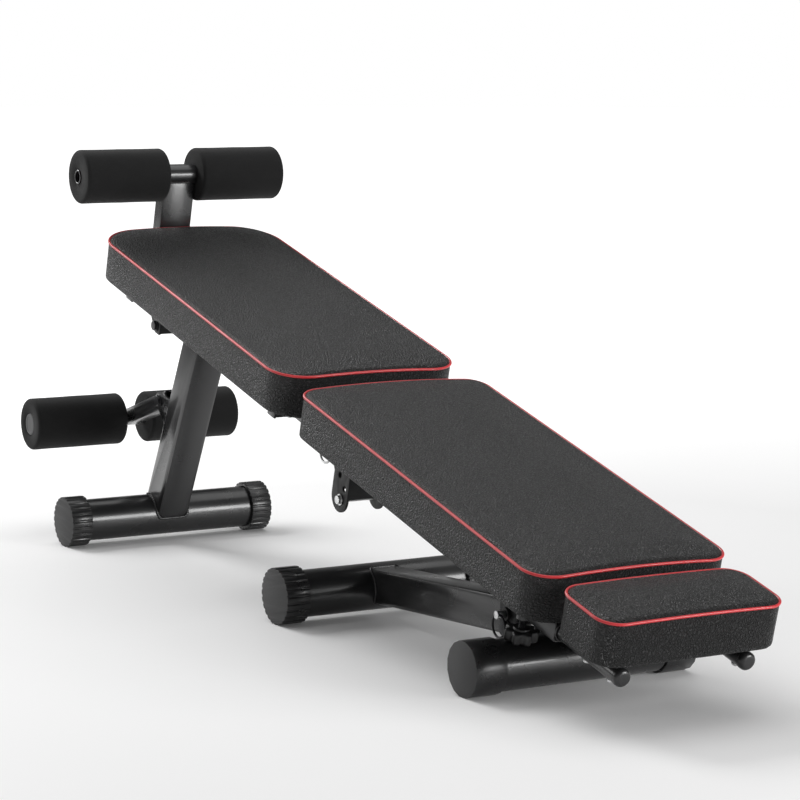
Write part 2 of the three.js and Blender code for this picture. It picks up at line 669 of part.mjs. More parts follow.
function addHeadRods() {
  const { radius, wall, from, to, capRadius, capLength } = ROD;
  addBoth(padPlane, 'head_rod', (sign) => {
    const tube = forward(pipe(radius, radius - wall, from, to));
    const blockTop = -HEAD_PAD.depth - RAIL.n - GAP;
    const blockBottom = radius - 1;
    const { at, length, width } = ROD_BLOCKS;
    const blocks = at.map((s) => {
      const block = new THREE.BoxGeometry(length, width, blockTop - blockBottom);
      return block.translate(s, 0, (blockTop + blockBottom) / 2);
    });
    return join(tube, ...blocks).translate(0, sign * RAIL.y, RAIL.n);
  }, paint);
  addBoth(padPlane, 'head_rod_cap', (sign) => {
    const stub = radius - wall - GAP;
    const profile = [
      [0, -ROD_CAP_STUB], [stub, -ROD_CAP_STUB], [stub, GAP], [capRadius, GAP],
      ...arc(capRadius - 4, capLength - 4, 4, 0, 90, 2).map((p) => [p.x, p.y]), [0, capLength],
    ];
    return forward(turned(profile)).translate(to, sign * RAIL.y, RAIL.n);
  }, capPlastic);
}

function addHeadKnob() {
  const nutTop = RAIL.n - RAIL.size / 2 - GAP;
  const nut = alongZ(pipe(KNOB_NUT.radius, PIN.radius + RUN, nutTop - KNOB_NUT.height, nutTop));
  add(padPlane, 'knob_nut', nut.translate(HEAD_KNOB.s, -RAIL.y, 0), paint);
  const tip = RAIL.n - ROD.radius - RUN;
  const knob = alongZ(starKnob(PIN.radius, tip - HEAD_KNOB.n, HEAD_KNOB));
  add(padPlane, 'head_knob', knob.translate(HEAD_KNOB.s, -RAIL.y, tip), knobPlastic);
}

// ---- Leg ----

function addLeg() {
  const rise = THREE.MathUtils.degToRad(LEG.rise);
  const length = (LEG_PIVOT.x + LEG.past - MID_FOOT.x) / Math.cos(rise);
  const tube = alongX(boxTube(LEG.height, LEG.width, LEG.wall, length));
  tube.translate(length / 2, 0, 0).rotateY(-rise).translate(MID_FOOT.x, 0, LEG.startZ);
  const foot = rod(FOOT.radius + GAP, -REACH, REACH, TUBE_SIDES);
  foot.translate(MID_FOOT.x, 0, MID_FOOT.capRadius);
  const sleeveHole = rod(LEG.sleeve + GAP, -REACH, REACH).translate(LEG_PIVOT.x, 0, LEG_PIVOT.z);
  add(bench, 'leg_beam', cut(tube, foot, sleeveHole), paint);
  const half = PLATE.inner - GAP;
  const sleeve = pipe(LEG.sleeve, PIVOT.radius + RUN, -half, half);
  add(bench, 'leg_sleeve', sleeve.translate(LEG_PIVOT.x, 0, LEG_PIVOT.z), paint);
}

function addLegBracket() {
  const pivot = new THREE.Vector3(LEG_PIVOT.x, 0, LEG_PIVOT.z);
  pivot.applyMatrix4(padPlane.matrix.clone().invert());
  const { from, to, top, shoulder, eye } = LEG_BRACKET;
  const outline = [
    point(from, top), point(from, shoulder), ...arc(pivot.x, pivot.z, eye, 180, 360, 10),
    point(to, shoulder), point(to, top),
  ];
  const web = new THREE.BoxGeometry(to - from - 2, 2 * PLATE_OUTER, PLATE.thick);
  web.translate((from + to) / 2, 0, BEAM_BOTTOM - GAP - PLATE.thick / 2);
  const boss = rod(PIN_BOSS.radius, -PLATE_OUTER - PIN_BOSS.length, -PLATE_OUTER + 1);
  boss.translate(LEG_PIN.s, 0, LEG_PIN.n);
  const pinHole = rod(PIN.radius + RUN, -REACH, 0, HOLE_SIDES).translate(LEG_PIN.s, 0, LEG_PIN.n);
  const hinge = pivotHole().translate(pivot.x, 0, pivot.z);
  const whole = join(...sidePlates(outline), web, boss);
  add(padPlane, 'leg_bracket', cut(whole, pinHole, hinge), paint);
  const bolt = throughBolt(PLATE_OUTER + GAP, PIVOT.radius, PIVOT.legHeadRadius);
  add(bench, 'leg_pivot_bolt', bolt.translate(LEG_PIVOT.x, 0, LEG_PIVOT.z), paint);
}

// ---- Assembly ----

addFeet();
addRearPost();
addMainBeam();
addPostBracket();
addPostKnob();
addUpperPost();
addUpperAxle();
addArmClevis();
addLowerArm();
addLowerAxle();
addSeat();
addPad('back', BACK_PAD);
addPad('head', HEAD_PAD);
addIndexBracket();
addHingeArms();
addBackFrame();
addPullPin('back', BACK_PIN, -HINGE_ARM.inner, 11, zinc);
addHeadRods();
addHeadKnob();
addLeg();
addLegBracket();
addPullPin('leg', LEG_PIN, -LEG.width / 2 - 0.6, 16.5, paint);

// The origin is the centre of the footprint.
const box = new THREE.Box3().setFromObject(bench, true);
bench.position.x = -(box.min.x + box.max.x) / 2;
bench.updateMatrixWorld(true);

export default bench;
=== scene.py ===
"""Decline sit up bench: the looks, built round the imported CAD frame."""

import json
import math

import bmesh
import bpy
from mathutils import Matrix, Vector, noise

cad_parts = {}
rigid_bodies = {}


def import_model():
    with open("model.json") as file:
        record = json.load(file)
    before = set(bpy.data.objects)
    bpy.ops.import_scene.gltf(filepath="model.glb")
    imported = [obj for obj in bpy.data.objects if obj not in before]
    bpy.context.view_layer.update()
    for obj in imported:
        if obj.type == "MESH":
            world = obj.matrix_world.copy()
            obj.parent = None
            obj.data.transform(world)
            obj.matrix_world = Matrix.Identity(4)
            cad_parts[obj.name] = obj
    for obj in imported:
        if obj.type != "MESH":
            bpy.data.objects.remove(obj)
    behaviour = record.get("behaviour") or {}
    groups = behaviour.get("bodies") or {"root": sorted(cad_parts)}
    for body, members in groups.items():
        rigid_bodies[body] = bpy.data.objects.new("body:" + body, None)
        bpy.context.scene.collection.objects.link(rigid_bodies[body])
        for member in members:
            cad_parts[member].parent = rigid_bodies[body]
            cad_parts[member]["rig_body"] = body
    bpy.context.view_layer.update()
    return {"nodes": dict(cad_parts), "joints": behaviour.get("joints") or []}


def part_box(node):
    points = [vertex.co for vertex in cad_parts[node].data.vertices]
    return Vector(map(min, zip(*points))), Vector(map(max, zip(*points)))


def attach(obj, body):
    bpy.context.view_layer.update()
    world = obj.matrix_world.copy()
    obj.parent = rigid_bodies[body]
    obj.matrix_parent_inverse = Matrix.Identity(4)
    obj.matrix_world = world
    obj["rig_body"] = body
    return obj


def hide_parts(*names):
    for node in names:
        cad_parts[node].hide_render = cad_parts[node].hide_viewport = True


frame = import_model()

# ---- The bench's own frames, in millimetres ----

MM = 0.001
GAP = 0.3  # between neighbouring solids
JOINTS = {joint["name"]: joint for joint in frame["joints"]}
SLOPE = Vector(JOINTS["head_rest_slide"]["axis"]).normalized()
NORMAL = Vector(JOINTS["upper_post_height"]["axis"]).normalized()
ACROSS = Vector((0, 1, 0))

BACK_PIVOT = (660, -67.4)
FOOT = {"radius": 30, "wall": 2, "axis": 36}
CAP_DISC = {"radius": 33, "sunk": 0.2}
BEAM_BOTTOM = -116
REAR_POST = {"x": 3, "lean": 28, "half": 25, "corner": 7}
LEG = {"x": 642, "z": 39.5, "rise": 3.3, "half_height": 22.5, "half_width": 20, "corner": 4}

# corner is the radius at the end towards the head.
PADS = {
    "seat": {
        "start": 0, "end": 589, "width": 265, "depth": 54,
        "corner": 50, "rear_corner": 55, "arch": 5,
    },
    "back": {
        "start": 626.6, "end": 1196, "width": 265, "depth": 54,
        "corner": 37, "rear_corner": 25, "arch": 5,
    },
    "head": {
        "start": 1215.4, "end": 1316, "width": 239, "depth": 51,
        "corner": 28, "rear_corner": 26, "arch": 2,
    },
}
PAD_BODY = {"seat": "root", "back": "back_rest", "head": "head_rest"}
PIPING_RADIUS = 1.7

UPPER_AXLE = {"s": -31.6, "n": 75.3, "sleeve": 15, "half": 155.5}
UPPER_ROLLER = {"radius": 38, "start": 25.5, "end": 154, "round": 5}
LOWER_AXLE = {"x": -114.5, "z": 165.4, "half": 159.5}
LOWER_ROLLER = {"radius": 38, "start": 20.5, "end": 163.5, "round": 5}
PLUG = {"radius": 16, "thick": 3.6}
AXLE = {"radius": 10, "bore": 8}
ROLLER_BORE = 10.4
UPPER_POST = {"offset": 0.9, "half_depth": 12.5}

RAIL = {"y": 82, "half": 12.5, "start": 640, "end": 1190, "n": -66.8}
SEAT_BAR = {"at": (70, 519), "half": 103, "height": 21}
ROD = {"radius": 10, "wall": 1.5, "start": 1030, "end": 1301, "cap_radius": 10.6, "cap_length": 9}
ROD_BLOCKS = (1240, 1288)
HEAD_KNOB = {"s": 1110, "n": -101, "stud": 4}
POST_KNOB = {"n": -95, "stud": 5, "length": 17}
STAR = {"radius": 20, "thick": 14, "lobes": 7, "hollow": 2.5}
RING = {"radius": 13.5, "wire": 1.45}


def plane_matrix():
    """The pads' plane: x along the slope, y across, z up from the piping line."""
    pivot = Vector(JOINTS["back_rest_tilt"]["pos_m"])
    origin = pivot - SLOPE * BACK_PIVOT[0] * MM - NORMAL * BACK_PIVOT[1] * MM
    turn = Matrix((SLOPE, ACROSS, NORMAL)).transposed().to_4x4()
    return Matrix.Translation(origin) @ turn @ Matrix.Scale(MM, 4)


def bench_matrix():
    """The bench's frame: x from the rear foot, z from the floor."""
    low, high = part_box("rear_foot_tube")
    return Matrix.Translation(((low[0] + high[0]) / 2, 0, 0)) @ Matrix.Scale(MM, 4)


PLANE = plane_matrix()
BENCH = bench_matrix()

# ---- Materials ----


class Look:
    """A Principled material, with short ways to add its nodes."""

    def __init__(self, name, colour, **fixed):
        self.material = bpy.data.materials.new(name)
        self.material.use_nodes = True
        self.tree = self.material.node_tree
        self.shader = self.tree.nodes["Principled BSDF"]
        self.shader.inputs["Base Color"].default_value = (*colour, 1)
        for socket, value in fixed.items():
            self.shader.inputs[socket.replace("_", " ")].default_value = value
        self.place = self.node("ShaderNodeTexCoord").outputs["Object"]

    def node(self, kind, properties=None, **inputs):
        made = self.tree.nodes.new(kind)
        for key, value in (properties or {}).items():
            setattr(made, key, value)
        for socket, value in inputs.items():
            self.feed(made.inputs[socket.replace("_", " ")], value)
        return made

    def feed(self, socket, value):
        if isinstance(value, bpy.types.NodeSocket):
            self.tree.links.new(value, socket)
        else:
            socket.default_value = value

    def noise(self, scale, detail):
        made = self.node("ShaderNodeTexNoise", Vector=self.place, Scale=scale, Detail=detail)
        return made.outputs["Fac"]

    def ramp(self, value, low, high, start=0.0, end=1.0):
        """The value mapped from start..end to low..high."""
        made = self.node("ShaderNodeMapRange", Value=value)
        for socket, number in (("From Min", start), ("From Max", end), ("To Min", low), ("To Max", high)):
            made.inputs[socket].default_value = number
        return made.outputs["Result"]

    def mix(self, factor, first, second):
        made = self.node("ShaderNodeMix", {"data_type": "RGBA"})
        self.feed(made.inputs["Factor"], factor)
        self.feed(made.inputs[6], first if isinstance(first, bpy.types.NodeSocket) else (*first, 1))
        self.feed(made.inputs[7], second if isinstance(second, bpy.types.NodeSocket) else (*second, 1))
        return made.outputs[2]

    def math(self, operation, first, second):
        made = self.node("ShaderNodeMath", {"operation": operation})
        self.feed(made.inputs[0], first)
        self.feed(made.inputs[1], second)
        return made.outputs[0]

    def colour(self, value):
        self.feed(self.shader.inputs["Base Color"], value)

    def roughness(self, value):
        self.feed(self.shader.inputs["Roughness"], value)

    def bump(self, height, strength, distance, under=None):
        """Bump from a height of 0 to 1; distance is the real depth in metres."""
        made = self.node("ShaderNodeBump", Height=height, Strength=strength, Distance=distance)
        if under is not None:
            self.feed(made.inputs["Normal"], under)
        self.feed(self.shader.inputs["Normal"], made.outputs["Normal"])
        return made.outputs["Normal"]


def grey(value, blue):
    return (value, value, blue)


def make_paint():
    """Gloss black powder coat: faint orange peel, a little uneven gloss."""
    fixed = {"Specular_IOR_Level": 0.5, "Coat_Weight": 0.25, "Coat_Roughness": 0.12}
    look = Look("gloss_black_powder_coat", grey(0.012, 0.0125), **fixed)
    cloudy = look.noise(14, 3)
    look.roughness(look.ramp(cloudy, 0.24, 0.36, 0.3, 0.7))
    look.colour(look.mix(cloudy, grey(0.009, 0.0095), grey(0.016, 0.0165)))
    look.bump(look.noise(420, 1), 0.10, 0.0004)
    return look.material


def plain_look(name, colour, rough, relief, cloud=None, **fixed):
    """A look from noises, given by scale, detail and the roughness, colour or
    (for relief) the strength and depth that they lead to."""
    look = Look(name, colour, **fixed)
    look.roughness(look.ramp(look.noise(*rough[:2]), *rough[2:]))
    if cloud:
        look.colour(look.mix(look.noise(*cloud[:2]), *cloud[2:]))
    look.bump(look.noise(*relief[:2]), *relief[2:])
    return look.material


def make_cap_face():
    """The caps' end discs: fine spark-eroded texture, dark grey."""
    look = Look("cap_face_matte_plastic", grey(0.03, 0.031))
    speckle = look.noise(2600, 2)
    look.colour(look.mix(look.noise(25, 2), grey(0.013, 0.0135), grey(0.019, 0.0195)))
    look.roughness(look.ramp(speckle, 0.48, 0.62))
    look.bump(speckle, 0.25, 0.0002)
    return look.material


def make_foam():
    """Closed-cell foam: near black, with small pores."""
    fixed = {"Sheen_Weight": 0.03, "Specular_IOR_Level": 0.25, "Sheen_Roughness": 0.6}
    look = Look("black_roller_foam", grey(0.0055, 0.0057), **fixed)
    pores = look.node("ShaderNodeTexVoronoi", Vector=look.place, Scale=620.0).outputs["Distance"]
    soft = look.noise(900, 3)
    look.colour(look.mix(look.noise(30, 3), grey(0.004, 0.0041), grey(0.007, 0.0072)))
    look.roughness(look.ramp(soft, 0.8, 0.95))
    first = look.bump(pores, 0.35, 0.0006)
    look.bump(soft, 0.3, 0.0004, first)
    return look.material


def make_leatherette():
    """Coated cloth with a pebble grain: rounded cells between creases whose darker colour is painted shade.
    """
    look = Look("pebbled_leatherette", grey(0.012, 0.0123), Specular_IOR_Level=0.42)
    warp = look.node("ShaderNodeTexNoise", Vector=look.place, Scale=150.0, Detail=2.0).outputs["Color"]
    shift = look.node("ShaderNodeVectorMath", {"operation": "SCALE"}, Vector=warp, Scale=0.006)
    moved = look.node("ShaderNodeVectorMath", {"operation": "ADD"})
    look.feed(moved.inputs[0], look.place)
    look.feed(moved.inputs[1], shift.outputs[0])
    place = moved.outputs[0]
    cells = look.node("ShaderNodeTexVoronoi", {"feature": "DISTANCE_TO_EDGE"}, Vector=place, Scale=260.0)
    small = look.node("ShaderNodeTexVoronoi", {"feature": "DISTANCE_TO_EDGE"}, Vector=place, Scale=610.0)
    pebble = look.ramp(cells.outputs["Distance"], 0.0, 1.0, 0.02, 0.30)
    fine = look.ramp(small.outputs["Distance"], 0.0, 1.0, 0.0, 0.3)
    height = look.math("ADD", look.math("MULTIPLY", pebble, 0.75), look.math("MULTIPLY", fine, 0.25))
    tops = look.mix(look.noise(11, 3), grey(0.010, 0.0103), grey(0.016, 0.0164))
    # Painted shade: the creases between the pebbles are coloured near black where shade would fall in the
    # grain.
    look.colour(look.mix(pebble, grey(0.003, 0.0031), tops))
    look.roughness(look.ramp(height, 0.56, 0.28))
    first = look.bump(height, 1.0, 0.0032)
    look.bump(look.noise(2400, 2), 0.12, 0.0002, first)
    return look.material


def make_zinc():
    """Zinc-plated steel: bright, slightly clouded."""
    look = Look("zinc_plated_steel", (0.62, 0.63, 0.64), Metallic=1.0)
    cloud = look.noise(140, 3)
    look.colour(look.mix(cloud, (0.50, 0.51, 0.52), (0.72, 0.72, 0.71)))
    look.roughness(look.ramp(cloud, 0.22, 0.38))
    look.bump(look.noise(1500, 2), 0.12, 0.0002)
    return look.material


def make_dust_cloth():
    """Thin nonwoven cloth under the pads: tangled fibres."""
    look = Look("black_dust_cloth", grey(0.012, 0.012), Sheen_Weight=0.1)
    fibres = look.node("ShaderNodeTexNoise", Vector=look.place, Scale=1300.0, Detail=4.0, Distortion=2.5)
    look.colour(look.mix(fibres.outputs["Fac"], grey(0.006, 0.006), grey(0.024, 0.024)))
    look.roughness(look.ramp(fibres.outputs["Fac"], 0.8, 0.95))
    look.bump(fibres.outputs["Fac"], 0.5, 0.0004)
    return look.material


PAINT = make_paint()
BRACKET_PAINT = plain_look(
    "satin_black_bracket_paint", grey(0.009, 0.0094), (40, 3, 0.44, 0.56), (420, 1, 0.12, 0.0004),
    (14, 3, grey(0.007, 0.0074), grey(0.011, 0.0114)), Specular_IOR_Level=0.35,
)
WELD = plain_look(
    "painted_weld_bead", grey(0.013, 0.0135), (160, 2, 0.28, 0.45), (700, 2, 0.2, 0.0004), Coat_Weight=0.2,
)
CAP = plain_look("cap_gloss_plastic", grey(0.014, 0.0145), (60, 3, 0.22, 0.36), (1200, 2, 0.08, 0.0003))
CAP_FACE = make_cap_face()
FOAM = make_foam()
LEATHERETTE = make_leatherette()
PIPING = plain_look(
    "red_piping", (0.5, 0.018, 0.023), (500, 2, 0.32, 0.5), (1100, 2, 0.25, 0.0003),
    (60, 3, (0.42, 0.012, 0.018), (0.58, 0.026, 0.032)), Coat_Weight=0.15,
)
ZINC = make_zinc()
BLACK_ZINC = plain_look(
    "black_zinc_bolt", grey(0.03, 0.032), (180, 3, 0.3, 0.45), (1500, 2, 0.12, 0.0002), Metallic=0.6,
)
PLUG_GREY = plain_look(
    "grey_axle_plug", grey(0.06, 0.061), (900, 2, 0.5, 0.65), (2200, 2, 0.2, 0.0002),
    (90, 2, grey(0.05, 0.051), grey(0.07, 0.071)),
)
KNOB = plain_look("knob_satin_plastic", grey(0.013, 0.0135), (300, 3, 0.32, 0.46), (1800, 2, 0.15, 0.0002))
DUST_CLOTH = make_dust_cloth()

# ---- Mesh tools: every shape is made in millimetres and placed by a matrix ----


def shade(bm, sharp_angle):
    limit = math.radians(sharp_angle)
    for face in bm.faces:
        face.smooth = True
    for edge in bm.edges:
        if len(edge.link_faces) == 2:
            edge.smooth = edge.calc_face_angle(0) < limit


def add_object(name, data):
    made = bpy.data.objects.new(name, data)
    bpy.context.scene.collection.objects.link(made)
    return made


def object_from(name, bm):
    """An object of the scene made from a bmesh, which is freed."""
    mesh = bpy.data.meshes.new(name)
    bm.to_mesh(mesh)
    bm.free()
    return add_object(name, mesh)


def round_angles(count):
    return [2 * math.pi * i / count for i in range(count)]


def round_y(radius, angle, place):
    """A point at an angle round the Y axis."""
    return Vector((radius * math.cos(angle), place, radius * math.sin(angle)))


def finish_piece(name, bm, material, body, matrix=None, replaces=(), sharp=38):
    """Turns a bmesh into a named piece that rides on a body."""
    if matrix is not None:
        bm.transform(matrix)
    bmesh.ops.recalc_face_normals(bm, faces=bm.faces)
    shade(bm, sharp)
    piece = object_from(name, bm)
    for one in material if isinstance(material, (list, tuple)) else [material]:
        piece.data.materials.append(one)
    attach(piece, body)
    if replaces:
        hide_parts(*replaces)
    return piece


def skin(bm, rings, closed_ends=True, loop=False):
    """Faces through rings of equal length; loop joins the last ring to the first."""
    made = [[bm.verts.new(point) for point in ring] for ring in rings]
    count = len(made[0])
    pairs = list(zip(made, made[1:]))
    if loop:
        pairs.append((made[-1], made[0]))
    for lower, upper in pairs:
        for i in range(count):
            j = (i + 1) % count
            bm.faces.new((lower[i], lower[j], upper[j], upper[i]))
    if closed_ends and not loop:
        bm.faces.new(list(reversed(made[0])))
        bm.faces.new(made[-1])
    return made


def lathe(profile, sides, bm=None, about="Y", centre=(0, 0, 0)):
    """A solid turned from (radius, place) pairs. A profile that starts and ends on
    the axis is solid; any other profile closes on itself."""
    bm = bm or bmesh.new()
    solid = profile[0][0] == 0 and profile[-1][0] == 0
    used = profile[1:-1] if solid else profile
    x, y, z = centre

    def spot(radius, place, angle):
        a, b = radius * math.cos(angle), radius * math.sin(angle)
        if about == "Y":
            return (x + a, y + place, z - b)
        if about == "X":
            return (x + place, y + a, z + b)
        return (x + a, y + b, z + place)

    rings = [[spot(r, p, angle) for angle in round_angles(sides)] for r, p in used]
    made = skin(bm, rings, closed_ends=False, loop=not solid)
    if solid:
        for ring, (_, place) in ((made[0], profile[0]), (made[-1], profile[-1])):
            pole = bm.verts.new(spot(0, place, 0))
            for i in range(sides):
                bm.faces.new((ring[i], ring[(i + 1) % sides], pole))
    return bm


def bow(radius, centre_r, centre_p, start, end, steps):
    """Points of a round corner in a lathe profile, angles in degrees."""
    points = []
    for i in range(steps + 1):
        angle = math.radians(start + (end - start) * i / steps)
        points.append((centre_r + radius * math.cos(angle), centre_p + radius * math.sin(angle)))
    return points


def pipe_profile(outer, inner, start, end, bevel=0.5):
    return [
        (inner + bevel, start), (outer - bevel, start), (outer, start + bevel),
        (outer, end - bevel), (outer - bevel, end), (inner + bevel, end),
        (inner, end - bevel), (inner, start + bevel),
    ]


def thread_ridges(crest, depth, start, end, pitch):
    """Lathe points of a thread's ridges, added from start until one passes end."""
    points = []
    place = start
    while place < end:
        points += [(crest, place + pitch / 2), (crest - depth, place + pitch)]
        place += pitch
    return points


def sweep(points, radius_at, sides, closed=True, up=Vector((0, 0, 1)), bm=None):
    """A round cord through points. radius_at gives the radius at each index."""
    bm = bm or bmesh.new()
    count = len(points)
    rings = []
    for i, point in enumerate(points):
        before = points[i - 1] if closed or i else point
        after = points[(i + 1) % count] if closed or i + 1 < count else point
        along = (after - before).normalized()
        side = along.cross(up).normalized()
        rise = side.cross(along).normalized()
        side, rise = side * radius_at(i), rise * radius_at(i)
        rings.append([point + side * math.cos(a) + rise * math.sin(a) for a in round_angles(sides)])
    skin(bm, rings, closed_ends=not closed, loop=closed)
    return bm


ROUNDING = {"segments": 2, "profile": 0.5, "affect": "EDGES"}


def block(bm, low, high, bevel):
    """A box with softened edges."""
    size = [b - a for a, b in zip(low, high)]
    middle = [(a + b) / 2 for a, b in zip(low, high)]
    matrix = Matrix.Translation(middle) @ Matrix.Diagonal((*size, 1))
    made = bmesh.ops.create_cube(bm, size=1, matrix=matrix)
    edges = list({edge for vert in made["verts"] for edge in vert.link_edges})
    bmesh.ops.bevel(bm, geom=edges, offset=bevel, **ROUNDING)


SAME_SPOT = 2e-6  # metres
FLAT_ANGLE = math.radians(1.5)
HARD_ANGLE = math.radians(50)


def refined(node, material, bevel, sharp=38):
    """The CAD node's own shape with its hard edges softened."""
    source = frame["nodes"][node]
    bm = bmesh.new()
    bm.from_mesh(source.data)
    bmesh.ops.remove_doubles(bm, verts=bm.verts, dist=SAME_SPOT)
    bmesh.ops.dissolve_limit(bm, angle_limit=FLAT_ANGLE, verts=bm.verts, edges=bm.edges)
    hard = [e for e in bm.edges if len(e.link_faces) == 2 and e.calc_face_angle(0) > HARD_ANGLE]
    bmesh.ops.bevel(bm, geom=hard, offset=bevel * MM, clamp_overlap=True, **ROUNDING)
    name, body = f"{node}_finish", source["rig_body"]
    return finish_piece(name, bm, material, body, replaces=(node,), sharp=sharp)


# ---- Feet ----


def make_foot(name):
    node = f"{name}_tube"
    low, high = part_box(node)
    body = frame["nodes"][node]["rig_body"]
    place = BENCH.inverted() @ ((low + high) / 2)
    half = (high[1] - low[1]) / 2 / MM
    profile = pipe_profile(FOOT["radius"], FOOT["radius"] - FOOT["wall"], -half, half)
    bm = lathe(profile, 96, centre=(place.x, 0, place.z))
    finish_piece(f"{name}_tube_paint", bm, PAINT, body, BENCH, (node,))
    for side in ("left", "right"):
        make_cap_piece(f"{name}_cap_{side}")


def make_cap_piece(node):
    """The cap with softened ribs; its end disc has its own matte texture."""
    piece = refined(node, [CAP, CAP_FACE], 0.45, sharp=34)
    low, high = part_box(node)
    outer = high[1] if low[1] > 0 else low[1]
    centre = ((low[0] + high[0]) / 2, (low[2] + high[2]) / 2)
    for face in piece.data.polygons:
        spot = face.center
        away = math.hypot(spot.x - centre[0], spot.z - centre[1])
        if abs(spot.y - outer) < CAP_DISC["sunk"] * MM and away < CAP_DISC["radius"] * MM:
            face.material_index = 1


# ---- Tubes and brackets that keep their CAD shape ----

# The bevel of each painted node's edges, in millimetres.
REFINED_PAINT = {
    "rear_post": 0.7, "main_beam": 0.7, "post_bracket": 0.6, "upper_post": 0.6, "arm_clevis": 0.7,
    "lower_arm": 0.6, "seat_bar_rear": 0.5, "seat_bar_front": 0.5, "index_bracket": 0.6,
    "pin_lever": 0.6, "hinge_arm": 0.6, "back_rail_left": 0.5, "back_rail_right": 0.5,
    "back_bar_rear": 0.5, "back_bar_front": 0.5, "leg_beam": 0.7, "leg_bracket": 0.6,
}
PRESSED = ("index_bracket", "post_bracket", "leg_bracket", "pin_lever")


def make_tubes():
    for node, bevel in REFINED_PAINT.items():
        refined(node, BRACKET_PAINT if node in PRESSED else PAINT, bevel)
    refined("beam_end_plug", CAP, 0.7)


def between(first, second, share):
    return tuple(a + (b - a) * share for a, b in zip(first, second))


def rounded_outline(half_a, half_b, corner, rear=None, corner_steps=6, edge_steps=8):
    """A closed outline of (a, b) points, corners rounded and edges divided. The
    corners at the -a end may have a radius of their own."""
    points = []
    for quarter, (sa, sb) in enumerate(((1, 1), (-1, 1), (-1, -1), (1, -1))):
        radius = corner if sa > 0 or rear is None else rear
        centre = (sa * (half_a - radius), sb * (half_b - radius))
        for i in range(corner_steps + 1):
            angle = (quarter + i / corner_steps) * math.pi / 2
            points.append((centre[0] + radius * math.cos(angle), centre[1] + radius * math.sin(angle)))
    full = []
    for i, first in enumerate(points):
        second = points[(i + 1) % len(points)]
        full.append(first)
        if math.dist(first, second) > 3 * corner * math.pi / 2 / corner_steps:
            full += [between(first, second, k / edge_steps) for k in range(1, edge_steps)]
    return full


# ---- Welds ----

WELD_RISE = 0.4
RIPPLE = {"spacing": 0.9, "turn": 0.75, "drift": 0.09}
PLATE_WELD = {"y": 26.6, "radius": 1.7}
# The (s, n) points of the short beads on each bracket's two plates.
PLATE_BEADS = {
    "index": ((551, -83.4), (578, -83.4), (604, -83.4)),
    "leg": ((983, -85.4), (1003, -85.4), (1023, -85.4)),
    "post": ((22.6, -82), (22.6, -97), (22.6, -112)),
}
FOOT_BEAD = {"from_axis": 7.5, "across": (-24, -8, 8, 24), "sunk": 0.9, "radius": 2.0}


def weld(name, points, body, matrix, closed=True, radius=2.2, up=Vector((0, 0, 1))):
    """A weld bead: overlapping ripples along a line."""
    dense = []
    count = len(points)
    for i in range(count if closed else count - 1):
        first, second = points[i], points[(i + 1) % count]
        steps = max(1, round((second - first).length / RIPPLE["spacing"]))
        dense += [first.lerp(second, k / steps) for k in range(steps)]
    if not closed:
        dense.append(points[-1])

    def ripple(i):
        wave = abs(math.sin(i * RIPPLE["turn"]))
        drift = noise.noise(dense[i] * RIPPLE["drift"])
        fade = 1.0 if closed else min(1, 0.25 + min(i, len(dense) - 1 - i) / 3)
        return radius * fade * (0.86 + 0.16 * wave + 0.14 * drift)

    bm = sweep(dense, ripple, 10, closed, up=up)
    finish_piece(name, bm, WELD, body, matrix, sharp=70)


def distance_to_round(offset, direction, radius):
    """How far along direction a line from offset leaves a circle round 0."""
    ahead = offset[0] * direction[0] + offset[1] * direction[1]
    rest = offset[0] ** 2 + offset[1] ** 2 - radius**2
    return -ahead + math.sqrt(max(0.0, ahead**2 - rest))


def post_outline():
    return rounded_outline(REAR_POST["half"], REAR_POST["half"], REAR_POST["corner"])


def weld_to_foot(name, body, foot_x, offset, along, across, outline):
    """The bead where a tube is coped over a foot. along, across and the offset from
    the foot's axis are in (x, z)."""
    points = []
    for a, v in outline:
        start = (offset[0] + a * across[0], offset[1] + a * across[1])
        reach = distance_to_round(start, along, FOOT["radius"]) + WELD_RISE
        x, z = (start[k] + reach * along[k] for k in (0, 1))
        points.append(Vector((foot_x + x, v, FOOT["axis"] + z)))
    weld(name, points, body, BENCH, up=Vector((along[0], 0, along[1])))


def weld_post(along, across):
    to_plane = PLANE.inverted() @ BENCH
    weld_to_foot("weld_post_foot", "root", 0, (REAR_POST["x"], 0), along, across, post_outline())
    points = []
    for u, v in post_outline():
        start = Vector((REAR_POST["x"] + u * across[0], v, FOOT["axis"] + u * across[1]))
        near, far = to_plane @ start, to_plane @ (start + 100 * Vector((along[0], 0, along[1])))
        share = (BEAM_BOTTOM - 2 * GAP - near.z) / (far.z - near.z)
        points.append(near.lerp(far, share))
    weld("weld_post_beam", points, "root", PLANE)


def weld_leg(along, across):
    outline = rounded_outline(LEG["half_height"], LEG["half_width"], LEG["corner"])
    offset = (0, LEG["z"] - FOOT["axis"])
    weld_to_foot("weld_leg_foot", "leg", LEG["x"], offset, along, across, outline)


def weld_front_foot():
    low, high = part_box("front_foot_tube")
    middle = BENCH.inverted() @ ((low + high) / 2)
    axis = PLANE.inverted() @ BENCH @ Vector((middle.x, 0, middle.z))
    n = BEAM_BOTTOM - FOOT_BEAD["sunk"]
    for i, side in enumerate((-1, 1)):
        s = axis.x + side * FOOT_BEAD["from_axis"]
        line = [Vector((s, y, n)) for y in FOOT_BEAD["across"]]
        weld(f"weld_front_foot_{i}", line, "root", PLANE, closed=False, radius=FOOT_BEAD["radius"])


def weld_brackets():
    """Short beads where the bracket plates are welded to the beam's sides."""
    radius = PLATE_WELD["radius"]
    for side, name in ((-1, "left"), (1, "right")):
        for label, spots in PLATE_BEADS.items():
            line = [Vector((s, side * PLATE_WELD["y"], n)) for s, n in spots]
            up = Vector((0, side, 0))
            weld(f"weld_{label}_{name}", line, "root", PLANE, closed=False, radius=radius, up=up)


